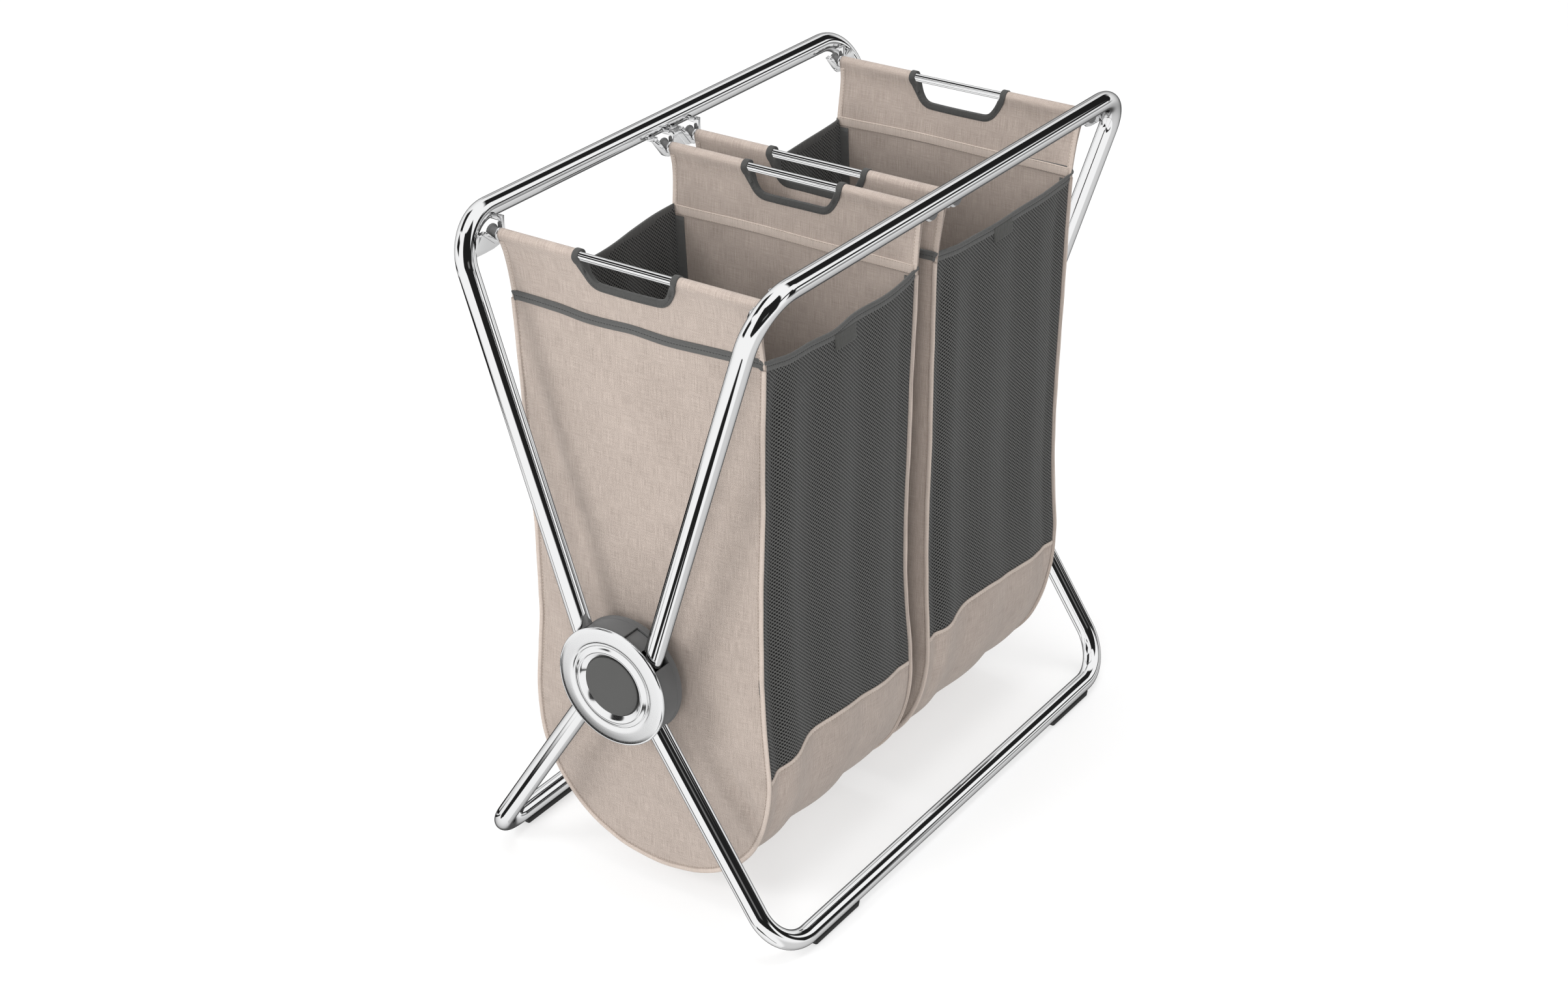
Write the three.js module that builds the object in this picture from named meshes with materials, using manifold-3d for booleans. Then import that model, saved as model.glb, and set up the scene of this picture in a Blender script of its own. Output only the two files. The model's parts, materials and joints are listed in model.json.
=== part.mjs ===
// Laundry hamper with two hanging bins on a folding X-frame of bent round tube.
// Millimetres. +Z is up, X runs along the rails, Y across them. The origin is on the floor
// under the middle of the hamper. "left" is +Y, "right" is -Y, "near" is -X, "far" is +X.
import * as THREE from 'three';
import { mergeVertices } from 'three/addons/utils/BufferGeometryUtils.js';
import Module from 'manifold-3d';

const wasm = await Module();
wasm.setup();

// ---------------------------------------------------------------- driving dimensions
const GAP = 0.3;                 // clearance between pieces that touch

// tube loops
const TUBE_R = 11;               // 22 mm tube
const TUBE_WALL = 1.8;
const LEG_X = 349;               // plane of the crossing legs, each side of the middle
const TOP_Y = 184.6;             // top rails, half distance
const TOP_Z = 758.5;             // top rails, height of the axis
const BOT_Y = 198.4;             // bottom rails, half distance
const BOT_Z = 15;                // bottom rails, height of the axis
const BEND_R = 52;               // bend radius of the tube axis
const UPPER_SLOPE = 0.3277;      // sideways run per height of an upper leg
const LOWER_SLOPE = 0.6536;      // the same for a lower leg
const TUBE_SIDES = 16;
const BEND_STEPS = 7;

// hub: s is the distance outwards from the leg plane
const HUB_Z = 290;
const DRUM_R = 66;
const DRUM_WALL = 2.6;
const DRUM_BACK = -19;
const DRUM_FRONT = 13.6;
const PLATE_T = 2.3;             // front plate of the drum
const BACK_T = 2;
const UP_END_Z = 20;             // where the upper tubes end, above the hub centre
const LOW_END_Z = -22;
const SWING = 18;                // degrees that the swinging loop closes by
const DISC_R = 68;
const BOLT_R = 5;

// hooks
const HOOK_Y0 = 163;             // inner and outer face of a hook, across the hamper
const HOOK_Y1 = 169;
const POCKET_R = 6.2;

// rods and their rubber ends
const ROD_Z = 738.5;
const ROD_OUT = 307;             // outer rods, distance from the middle
const ROD_IN = 23;               // inner rods
const ROD_R = 4.5;
const ROD_HALF = 168.2;
const END_FACE = 172.8;          // outer face of a rod end
const END_INNER = 160.5;
const FLANGE_R = 8.5;
const NECK_R = 5.6;

// bags
const BAG_HALF = 157;            // half width across, outside
const CLOTH = 2.6;               // thickness that a fabric wall takes here
const BAND_Z = 668;              // height of the stitched band and of the mesh's upper edge
const ROUND_Z = 195;             // centre height of the round bottom
const MESH_Z = 204;              // seam between mesh and bottom cloth
const SLEEVE_HALF = 158;
const GRIP_TOP = 55.5;           // half width of the grip opening at the rod
const GRIP_LOW = 38;             // the same at its lower edge
const GRIP_Z = 713;
const BAG_NEAR = [-303, -27.5];  // outer faces of the end panels
const BAG_FAR = [12, 296];

// feet
const FOOT_X = [210, 296];
const FOOT_HALF = 8.5;
const FOOT_TOP = 7;

// ---------------------------------------------------------------- materials
const chrome = () => new THREE.MeshStandardMaterial({ color: 0xe8e9ea, roughness: 0.08, metalness: 1 });
const satin = () => new THREE.MeshStandardMaterial({ color: 0xd9dadb, roughness: 0.22, metalness: 1 });
const steel = () => new THREE.MeshStandardMaterial({ color: 0xa9abad, roughness: 0.4, metalness: 1 });
const plastic = () => new THREE.MeshStandardMaterial({ color: 0x535353, roughness: 0.55, metalness: 0 });
const nylon = () => new THREE.MeshStandardMaterial({ color: 0xd8d5cc, roughness: 0.6, metalness: 0 });
const rubber = () => new THREE.MeshStandardMaterial({ color: 0x606060, roughness: 0.7, metalness: 0 });
const footRubber = () => new THREE.MeshStandardMaterial({ color: 0x222222, roughness: 0.8, metalness: 0 });
const cloth = () => new THREE.MeshStandardMaterial({ color: 0xb9aca1, roughness: 0.95, metalness: 0 });
const mesh3d = () => new THREE.MeshStandardMaterial({ color: 0x5c5d5d, roughness: 0.9, metalness: 0 });

// ---------------------------------------------------------------- solids
function toSolid(geometry) {
  let g = geometry.clone();
  for (const k of Object.keys(g.attributes)) if (k !== 'position') g.deleteAttribute(k);
  g = mergeVertices(g, 1e-3);
  const p = g.attributes.position;
  const idx = g.index.array;
  const keep = [];
  for (let i = 0; i < idx.length; i += 3) {
    const [a, b, c] = [idx[i], idx[i + 1], idx[i + 2]];
    if (a !== b && b !== c && a !== c) keep.push(a, b, c);
  }
  let vol = 0;
  const A = new THREE.Vector3(), B = new THREE.Vector3(), C = new THREE.Vector3();
  for (let i = 0; i < keep.length; i += 3) {
    A.fromBufferAttribute(p, keep[i]); B.fromBufferAttribute(p, keep[i + 1]); C.fromBufferAttribute(p, keep[i + 2]);
    vol += A.dot(B.cross(C));
  }
  if (vol < 0) for (let i = 0; i < keep.length; i += 3) [keep[i + 1], keep[i + 2]] = [keep[i + 2], keep[i + 1]];
  return new wasm.Manifold(new wasm.Mesh({
    numProp: 3, vertProperties: new Float32Array(p.array), triVerts: new Uint32Array(keep),
  }));
}

function toGeometry(solid) {
  const m = solid.getMesh();
  const g = new THREE.BufferGeometry();
  g.setAttribute('position', new THREE.BufferAttribute(new Float32Array(m.vertProperties), 3));
  g.setIndex(new THREE.BufferAttribute(new Uint32Array(m.triVerts), 1));
  const flat = g.toNonIndexed();
  flat.computeVertexNormals();
  return flat;
}

const group = (parent, x = 0, y = 0, z = 0) => {
  const g = new THREE.Group();
  g.position.set(x, y, z);
  parent.add(g);
  return g;
};

function piece(name, solid, material, parent) {
  const m = new THREE.Mesh(toGeometry(solid), material);
  m.name = name;
  parent.add(m);
  return m;
}

const union = (...s) => s.reduce((a, b) => a.add(b));

// polygon in two coordinates, pushed along the third; pts are [a, b] pairs
function polygon(pts, holes = []) {
  const s = new THREE.Shape(pts.map(([a, b]) => new THREE.Vector2(a, b)));
  for (const h of holes) s.holes.push(new THREE.Path(h.map(([a, b]) => new THREE.Vector2(a, b))));
  return s;
}
const circlePts = (r, n, ca = 0, cb = 0, turn = 0) =>
  Array.from({ length: n }, (_, i) => [ca + r * Math.cos(turn + 2 * Math.PI * i / n), cb + r * Math.sin(turn + 2 * Math.PI * i / n)]);

// pts are [y, z]; the solid runs from x0 to x1
function alongX(pts, x0, x1, holes = []) {
  const g = new THREE.ExtrudeGeometry(polygon(pts, holes), { depth: x1 - x0, bevelEnabled: false, curveSegments: 1 });
  g.applyMatrix4(new THREE.Matrix4().set(0, 0, 1, x0, 1, 0, 0, 0, 0, 1, 0, 0, 0, 0, 0, 1));
  return toSolid(g);
}
// pts are [x, z]; the solid runs from y0 to y1
function alongY(pts, y0, y1, holes = []) {
  const g = new THREE.ExtrudeGeometry(polygon(pts, holes), { depth: y1 - y0, bevelEnabled: false, curveSegments: 1 });
  g.applyMatrix4(new THREE.Matrix4().set(1, 0, 0, 0, 0, 0, -1, y1, 0, 1, 0, 0, 0, 0, 0, 1));
  return toSolid(g);
}
const cylX = (r, x0, x1, y = 0, z = 0, n = 24, turn = 0) => alongX(circlePts(r, n, y, z, turn), x0, x1);
const boxSolid = (x0, x1, y0, y1, z0, z1) => {
  const g = new THREE.BoxGeometry(x1 - x0, y1 - y0, z1 - z0);
  g.translate((x0 + x1) / 2, (y0 + y1) / 2, (z0 + z1) / 2);
  return toSolid(g);
};
// profile of [radius, along] pairs turned about the X axis
function turnedX(profile, n = 36) {
  const g = new THREE.LatheGeometry(profile.map(([r, s]) => new THREE.Vector2(r, s)), n);
  g.rotateZ(-Math.PI / 2);
  return toSolid(g);
}
// the same about the Y axis
const turnedY = (profile, n = 12) =>
  toSolid(new THREE.LatheGeometry(profile.map(([r, s]) => new THREE.Vector2(r, s)), n));
// cylinder between two points
function rodSolid(a, b, r, n = 16) {
  const A = new THREE.Vector3(...a), B = new THREE.Vector3(...b);
  const g = new THREE.CylinderGeometry(r, r, A.distanceTo(B), n, 1);
  const q = new THREE.Quaternion().setFromUnitVectors(new THREE.Vector3(0, 1, 0), B.clone().sub(A).normalize());
  g.applyQuaternion(q);
  const c = A.add(B).multiplyScalar(0.5);
  g.translate(c.x, c.y, c.z);
  return toSolid(g);
}

// ---------------------------------------------------------------- bent tubes
class BentLine extends THREE.Curve {
  constructor(points, tangents) { super(); this.points = points; this.tangents = tangents; }
  at(list, t) {
    const n = this.points.length - 1, f = Math.min(Math.max(t, 0), 1) * n;
    const i = Math.min(Math.floor(f + 1e-7), n - 1);
    return list[i].clone().lerp(list[i + 1], Math.max(0, f - i));
  }
  getPoint(t) { return this.at(this.points, t); }
  getPointAt(t) { return this.at(this.points, t); }
  getTangent(t) { return this.at(this.tangents, t).normalize(); }
  getTangentAt(t) { return this.getTangent(t); }
}

function bentLine(corners, radius, steps) {
  const pts = [], tan = [];
  const n = corners.length;
  const dir = (i) => corners[i + 1].clone().sub(corners[i]).normalize();
  pts.push(corners[0].clone()); tan.push(dir(0));
  for (let i = 1; i < n - 1; i++) {
    const d1 = dir(i - 1), d2 = dir(i);
    const turn = Math.acos(THREE.MathUtils.clamp(d1.dot(d2), -1, 1));
    const cut = radius * Math.tan(turn / 2);
    const start = corners[i].clone().addScaledVector(d1, -cut);
    const inward = d2.clone().addScaledVector(d1, -d1.dot(d2)).normalize();
    const centre = start.clone().addScaledVector(inward, radius);
    for (let k = 0; k <= steps; k++) {
      const a = turn * k / steps;
      pts.push(centre.clone().addScaledVector(inward, -radius * Math.cos(a)).addScaledVector(d1, radius * Math.sin(a)));
      tan.push(d1.clone().multiplyScalar(Math.cos(a)).addScaledVector(inward, Math.sin(a)));
    }
  }
  pts.push(corners[n - 1].clone()); tan.push(dir(n - 2));
  return new BentLine(pts, tan);
}

function tubeSolid(line, outer, inner, sides = TUBE_SIDES) {
  const shape = polygon(circlePts(outer, sides), inner > 0 ? [circlePts(inner, sides)] : []);
  return toSolid(new THREE.ExtrudeGeometry(shape, {
    steps: line.points.length - 1, extrudePath: line, curveSegments: 1, bevelEnabled: false,
  }));
}

// direction of a leg away from the hub, [y, z], for side +1 (left) or -1 (right)
const legDir = (side, upper) => {
  const k = upper ? UPPER_SLOPE : LOWER_SLOPE;
  const l = Math.hypot(k, 1);
  return upper ? [side * k / l, 1 / l] : [side * k / l, -1 / l];
};
// where the axis of a leg meets the height z of the hub frame
const legY = (side, upper, z) => upper
  ? side * (TOP_Y - UPPER_SLOPE * (TOP_Z - HUB_Z - z))
  : side * (BOT_Y - LOWER_SLOPE * (HUB_Z + z - BOT_Z));
const legEnd = (side, upper) => {
  const z = upper ? UP_END_Z : LOW_END_Z;
  return [legY(side, upper, z), z];
};

function loopLine(side, upper) {
  const [ey, ez] = legEnd(side, upper);
  const ry = side * (upper ? TOP_Y : BOT_Y), rz = upper ? TOP_Z : BOT_Z;
  const v = (x, y, z) => new THREE.Vector3(x, y, z);
  return bentLine([v(-LEG_X, ey, HUB_Z + ez), v(-LEG_X, ry, rz), v(LEG_X, ry, rz), v(LEG_X, ey, HUB_Z + ez)], BEND_R, BEND_STEPS);
}

const lines = {
  upper_left: loopLine(1, true), upper_right: loopLine(-1, true),
  lower_left: loopLine(1, false), lower_right: loopLine(-1, false),
};
// slightly larger copies, to cut seats that keep the clearance
const CLEAR_R = (TUBE_R + GAP) / Math.cos(Math.PI / TUBE_SIDES);
const clear = Object.fromEntries(Object.entries(lines).map(([k, l]) => [k, tubeSolid(l, CLEAR_R, 0)]));

const root = new THREE.Group();
root.name = 'laundry_hamper';

const frame = group(root);
for (const [k, l] of Object.entries(lines)) {
  piece(`${k.split('_')[0]}_loop_${k.split('_')[1]}`, tubeSolid(l, TUBE_R, TUBE_R - TUBE_WALL), chrome(), frame);
}

// ---------------------------------------------------------------- hubs
// Everything here is in the hub's own frame: x outwards from the leg plane, y and z from its centre.
const rad = (d) => d * Math.PI / 180;
function sector(a0, a1, r0, r1, x0, x1) {
  const n = Math.max(3, Math.ceil((a1 - a0) / 8)), pts = [];
  for (let i = 0; i <= n; i++) { const a = rad(a0 + (a1 - a0) * i / n); pts.push([r1 * Math.cos(a), r1 * Math.sin(a)]); }
  for (let i = n; i >= 0; i--) { const a = rad(a0 + (a1 - a0) * i / n); pts.push([r0 * Math.cos(a), r0 * Math.sin(a)]); }
  return alongX(pts, x0, x1);
}
// block in the hub plane that a tube end butts on, with the spigot that goes into the tube
const PAD_LEN = 14, PAD_HALF = 9.6, PAD_X = 10.5, SPIGOT_R = TUBE_R - TUBE_WALL - 0.4, SPIGOT_LEN = 22;
function pad(side, upper) {
  const [ey, ez] = legEnd(side, upper), [dy, dz] = legDir(side, upper);
  const f = [ey - dy * GAP, ez - dz * GAP];
  const b = [f[0] - dy * PAD_LEN, f[1] - dz * PAD_LEN];
  const py = dz * PAD_HALF, pz = -dy * PAD_HALF;
  const block = alongX([[f[0] + py, f[1] + pz], [f[0] - py, f[1] - pz], [b[0] - py, b[1] - pz], [b[0] + py, b[1] + pz]], -PAD_X, PAD_X);
  const tip = [f[0] + dy * SPIGOT_LEN, f[1] + dz * SPIGOT_LEN];
  const spigot = rodSolid([0, b[0] + dy, b[1] + dz], [0, tip[0], tip[1]], SPIGOT_R, 14);
  return { solid: block.add(spigot), centre: [(f[0] + b[0]) / 2, (f[1] + b[1]) / 2] };
}
function arm(centre, x0, x1) {
  const l = Math.hypot(...centre), uy = centre[0] / l, uz = centre[1] / l, w = 8.5;
  return alongX([[-uz * w, uy * w], [uz * w, -uy * w], [centre[0] + uz * w, centre[1] - uy * w], [centre[0] - uz * w, centre[1] + uy * w]], x0, x1);
}
const COVER_R = DRUM_R - DRUM_WALL - 0.8;
const screwAt = [1, -1].map((side) => pad(side, side > 0).centre);   // the fixed loop's two pads

function yoke(fixed) {
  const a = pad(fixed ? 1 : -1, true), b = pad(fixed ? -1 : 1, false);
  const x0 = fixed ? 1 : -PAD_X, x1 = fixed ? PAD_X : -1;
  let s = union(a.solid, b.solid, arm(a.centre, x0, x1), arm(b.centre, x0, x1), cylX(18, fixed ? 1 : -PAD_X, fixed ? 5 : -1));
  if (fixed) {
    s = s.subtract(cylX(12, 5, 20));
    for (const [y, z] of screwAt) s = s.subtract(cylX(2.2, -20, 20, y, z, 12));
  } else {
    // curved covers that close the housing's slots at rest and slide under its wall, each on a web
    let cover = union(
      sector(105, 125, 60.2, COVER_R, -11.2, 10.8), alongX([[-25.4, 13], [-19, 11], [-17, 59.4], [-25, 56]], -PAD_X, -1),
      sector(-73, -54.5, 60.2, COVER_R, -11.2, 10.8), alongX([[20.6, -19], [14, -16], [16.8, -59.4], [26, -55.6]], -PAD_X, -1),
    );
    for (const [side, upper] of [[-1, true], [1, false]]) {
      const [ey, ez] = legEnd(side, upper), [dy, dz] = legDir(side, upper);
      cover = cover.subtract(rodSolid([0, ey, ez], [0, ey + dy * 90, ez + dz * 90], CLEAR_R, 20));
    }
    s = s.add(cover);
  }
  return s.subtract(cylX(BOLT_R + GAP, -20, 20));
}
function housing() {
  let s = cylX(DRUM_R, DRUM_BACK, DRUM_FRONT, 0, 0, 48)
    .subtract(cylX(DRUM_R - DRUM_WALL, DRUM_BACK - 1, DRUM_FRONT - PLATE_T, 0, 0, 48))
    .subtract(cylX(12.5, 0, 30));
  // seats for the fixed loop's tubes
  for (const [side, upper] of [[1, true], [-1, false]]) {
    const [ey, ez] = legEnd(side, upper), [dy, dz] = legDir(side, upper);
    s = s.subtract(rodSolid([0, ey, ez], [0, ey + dy * 90, ez + dz * 90], CLEAR_R + 0.1, 20));
  }
  // slots that the swinging loop's tubes move in
  s = s.subtract(sector(104.5, 148, 50, 80, -TUBE_R - 0.7, PAD_X + 0.8));
  s = s.subtract(sector(-73.5, -31, 50, 80, -TUBE_R - 0.7, PAD_X + 0.8));
  for (const [y, z] of screwAt) s = s.subtract(cylX(2.2, 0, 30, y, z, 12));
  return s;
}
function backPlate() {
  let s = cylX(DRUM_R - DRUM_WALL - GAP, DRUM_BACK, DRUM_BACK + BACK_T, 0, 0, 40);
  for (const [y, z] of screwAt) {
    s = s.add(cylX(5, DRUM_BACK + 0.5, -PAD_X - GAP, y, z, 16));
    s = s.subtract(cylX(2.2, -40, 0, y, z, 12));
  }
  return s;
}
const disc = () => turnedX([
  [36, 13.9], [66.6, 13.9], [67.6, 13.2], [68, 13.2], [68, 15.0], [67.2, 15.6], [58, 16.3], [51.2, 16.9], [49.4, 17.9],
  [47.6, 17.2], [46.2, 16.7], [43.4, 17.5], [41.4, 17.5], [35.6, 14.7], [34.2, 14.4], [34.2, 13.9], [36, 13.9],
], 40);
const cap = () => turnedX([[0, 13.9], [33.6, 13.9], [33.6, 15.0], [33, 15.6], [22, 16.0], [0, 16.2]], 32);
const bolt = () => union(cylX(9.8, -16.5, -PAD_X - 0.4, 0, 0, 6), cylX(BOLT_R, -PAD_X - 0.5, 12.5, 0, 0, 20));
const nut = () => cylX(9.8, 5.3, 11, 0, 0, 6, 0.2).subtract(cylX(BOLT_R + GAP, 0, 20, 0, 0, 20));
const washer = () => cylX(13, -0.7, 0.7).subtract(cylX(BOLT_R + GAP, -5, 5, 0, 0, 20));
const screw = ([y, z]) => union(cylX(3.9, DRUM_BACK - 2, DRUM_BACK - GAP, y, z, 14), cylX(1.9, DRUM_BACK - 0.5, 12.6, y, z, 12));

for (const [end, sign] of [['near', -1], ['far', 1]]) {
  const hub = group(root, sign * LEG_X, 0, HUB_Z);
  const set = (name, s, m) => piece(`hub_${end}_${name}`, sign < 0 ? s.mirror([1, 0, 0]) : s, m, hub);
  set('housing', housing(), plastic());
  set('back_plate', backPlate(), plastic());
  set('fixed_yoke', yoke(true), steel());
  set('swing_yoke', yoke(false), steel());
  set('trim_disc', disc(), satin());
  set('centre_cap', cap(), plastic());
  set('pivot_bolt', bolt(), steel());
  set('lock_nut', nut(), steel());
  set('friction_washer', washer(), nylon());
  set('screw_upper', screw(screwAt[0]), steel());
  set('screw_lower', screw(screwAt[1]), steel());
}

// ---------------------------------------------------------------- hooks
// Points are [x, z] from a rod's axis, +x towards the middle of the hamper.
const arc = (r, a0, a1, n) => Array.from({ length: n + 1 }, (_, i) => {
  const a = rad(a0 + (a1 - a0) * i / n);
  return [r * Math.cos(a), r * Math.sin(a)];
});
const POCKET = [[13.2, 22], [8.2, 6], ...arc(POCKET_R, 15, -195, 10), [-8.2, 6], [-13.2, 22]];
const CORNER_POCKET = [[13.2, 22], [8.2, 6], ...arc(POCKET_R, 15, -195, 10), [-9, 4], [-20, 12], [-24, 22]];
const CORNER_OUTLINE = [
  [19.5, 14.5], [18.2, 4], [14.6, -6], [9, -12.4], [3.5, -15.6], [-2, -17.5], [-35, -17.5],
  [-35, -6], [-29.5, 3], [-21.5, 12.4], [-18, 16],
];
const bridge = (x0, x1) => boxSolid(x0, x1, HOOK_Y1 - 1.5, 186, ROD_Z + 8.5, ROD_Z + 14.5);

function cornerHook(side, end) {
  let s = alongY(CORNER_OUTLINE, HOOK_Y0, HOOK_Y1).subtract(alongY(CORNER_POCKET, HOOK_Y0 - 5, HOOK_Y1 + 5));
  // in hub-side order: rod at x = 0 here, leg at x = ROD_OUT - LEG_X
  s = s.translate([0, 0, ROD_Z]).add(bridge(13.6, 19.3));
  s = s.mirror([1, 0, 0]).translate([ROD_OUT, 0, 0]);        // far end: the middle is towards -x
  if (end < 0) s = s.mirror([1, 0, 0]);
  if (side < 0) s = s.mirror([0, 1, 0]);
  s = s.subtract(side > 0 ? clear.upper_left : clear.upper_right);
  return s.decompose().sort((a, b) => volume(b) - volume(a))[0];
}
const volume = (m) => (m.volume ? m.volume() : m.getProperties().volume);

function middleHook(side) {
  const low = (sx) => [[41.5, 14.5], [40.4, 4], [36.6, -6], [31, -12.4], [24, -14.6], [16, -13], [9.5, -7.5], [4, -3]].map(([x, z]) => [sx * x, z]);
  const outline = [...low(1), ...low(-1).reverse()];
  let s = alongY(outline, HOOK_Y0, HOOK_Y1);
  for (const x of [-ROD_IN, ROD_IN]) s = s.subtract(alongY(POCKET.map(([a, b]) => [a + x, b]), HOOK_Y0 - 5, HOOK_Y1 + 5));
  s = s.translate([0, 0, ROD_Z]);
  for (const [a, b] of [[-41.3, -36.6], [-9, 9], [36.6, 41.3]]) s = s.add(bridge(a, b));
  if (side < 0) s = s.mirror([0, 1, 0]);
  s = s.subtract(side > 0 ? clear.upper_left : clear.upper_right);
  return s.decompose().sort((a, b) => volume(b) - volume(a))[0];
}
for (const [sideName, side] of [['left', 1], ['right', -1]]) {
  piece(`hook_near_${sideName}`, cornerHook(side, -1), chrome(), frame);
  piece(`hook_far_${sideName}`, cornerHook(side, 1), chrome(), frame);
  piece(`hook_middle_${sideName}`, middleHook(side), chrome(), frame);
}

// ---------------------------------------------------------------- feet
for (const [sideName, side] of [['left', 1], ['right', -1]]) {
  for (const [endName, end] of [['near', -1], ['far', 1]]) {
    const [a, b] = FOOT_X.map((v) => v * end).sort((p, q) => p - q);
    const y = side * BOT_Y;
    const profile = [[y - FOOT_HALF, 1.2], [y - FOOT_HALF + 1.5, 0], [y + FOOT_HALF - 1.5, 0], [y + FOOT_HALF, 1.2], [y + FOOT_HALF, FOOT_TOP], [y - FOOT_HALF, FOOT_TOP]];
    const s = alongX(profile, a, b).subtract(clear[`lower_${sideName}`]);
    piece(`foot_${endName}_${sideName}`, s, footRubber(), frame);
  }
}

// ---------------------------------------------------------------- bags
// One bag: two rods with rubber ends, two end panels with a sleeve round the rod and a grip
// opening, two mesh sides and one cloth that runs round under the bottom.
function roundBottom(r, n = 14) {
  return Array.from({ length: n + 1 }, (_, i) => {
    const a = Math.PI + Math.PI * i / n;
    return [r * Math.cos(a), ROUND_Z + r * Math.sin(a)];
  });
}
// outer: +1 when the outside of the panel faces +x
function endPanel(face, rodX, outer) {
  const inside = face - outer * CLOTH;
  const [x0, x1] = [Math.min(face, inside), Math.max(face, inside)];
  const panel = alongX([...roundBottom(BAG_HALF), [BAG_HALF, BAND_Z + 1], [-BAG_HALF, BAND_Z + 1]], x0, x1);
  // teardrop sleeve: both layers leave the panel at the band and go round the rod
  const ro = ROD_R + 0.7 + CLOTH, ri = ROD_R + 0.7;
  const ring = (r) => Array.from({ length: 11 }, (_, i) => {
    const a = rad(-15 + 210 * i / 10);
    return [rodX + r * Math.cos(a), ROD_Z + r * Math.sin(a)];
  });
  const mid = (x0 + x1) / 2;
  const outerLoop = [...ring(ro), [mid - CLOTH / 2, BAND_Z], [mid + CLOTH / 2, BAND_Z]];
  const innerLoop = [...ring(ri), [mid - 0.25, BAND_Z + 26], [mid + 0.25, BAND_Z + 26]];
  const sleeve = alongY(outerLoop, -SLEEVE_HALF, SLEEVE_HALF).subtract(alongY(innerLoop, -SLEEVE_HALF - 5, SLEEVE_HALF + 5));
  const grip = [[-GRIP_TOP, 760], [-GRIP_TOP, ROD_Z - 3], [-GRIP_LOW - 9, GRIP_Z + 7], [-GRIP_LOW, GRIP_Z], [GRIP_LOW, GRIP_Z], [GRIP_LOW + 9, GRIP_Z + 7], [GRIP_TOP, ROD_Z - 3], [GRIP_TOP, 760]];
  return panel.add(sleeve).subtract(alongX(grip, rodX - 30, rodX + 30));
}
// rod end, outside facing +y, turned about the rod's axis; bored to take the rod
const rodEnd = () => turnedY([
  [0, END_INNER], [6.4, END_INNER], [6.4, HOOK_Y0 - 1.3], [NECK_R, HOOK_Y0 - GAP], [NECK_R, HOOK_Y1 + GAP],
  [FLANGE_R - 1.0, HOOK_Y1 + GAP + 0.1], [FLANGE_R, HOOK_Y1 + 1.2], [FLANGE_R, END_FACE - 1], [FLANGE_R - 1.4, END_FACE], [0, END_FACE],
]).subtract(turnedY([[0, END_INNER - 5], [ROD_R + GAP, END_INNER - 5], [ROD_R + GAP, ROD_HALF + GAP], [0, ROD_HALF + GAP]]));

function bag(end, [lo, hi], rods) {
  const g = group(root);
  rods.forEach((x, i) => {
    const which = (i === 0) === (end === 'near') ? 'outer' : 'inner';
    piece(`rod_${end}_${which}`, turnedY([[0, -ROD_HALF], [ROD_R, -ROD_HALF], [ROD_R, ROD_HALF], [0, ROD_HALF]], 16).translate([x, 0, ROD_Z]), chrome(), g);
    for (const [sideName, side] of [['left', 1], ['right', -1]]) {
      const s = side > 0 ? rodEnd() : rodEnd().mirror([0, 1, 0]);
      piece(`rod_end_${end}_${which}_${sideName}`, s.translate([x, 0, ROD_Z]), rubber(), g);
    }
    piece(`bag_${end}_panel_${which}`, endPanel(i === 0 ? lo : hi, x, i === 0 ? -1 : 1), cloth(), g);
  });
  const x0 = lo + CLOTH + GAP, x1 = hi - CLOTH - GAP;
  for (const [sideName, side] of [['left', 1], ['right', -1]]) {
    const [y0, y1] = [side * BAG_HALF, side * (BAG_HALF - CLOTH)].sort((a, b) => a - b);
    piece(`bag_${end}_mesh_${sideName}`, boxSolid(x0, x1, y0, y1, MESH_Z + GAP, BAND_Z), mesh3d(), g);
  }
  const outer = [[-BAG_HALF, MESH_Z], ...roundBottom(BAG_HALF, 18), [BAG_HALF, MESH_Z]];
  const inner = [[-BAG_HALF + CLOTH, MESH_Z], ...roundBottom(BAG_HALF - CLOTH, 18), [BAG_HALF - CLOTH, MESH_Z]];
  piece(`bag_${end}_bottom`, alongX([...outer, ...inner.reverse()], x0, x1), cloth(), g);
}
bag('near', BAG_NEAR, [-ROD_OUT, -ROD_IN]);
bag('far', BAG_FAR, [ROD_IN, ROD_OUT]);

export default root;
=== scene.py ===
"""Looks of the two-bin laundry hamper. Lengths below are millimetres; make() turns them into metres."""
import json
import math

import bmesh
import bpy
import numpy as np
from mathutils import Matrix, Vector

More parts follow.
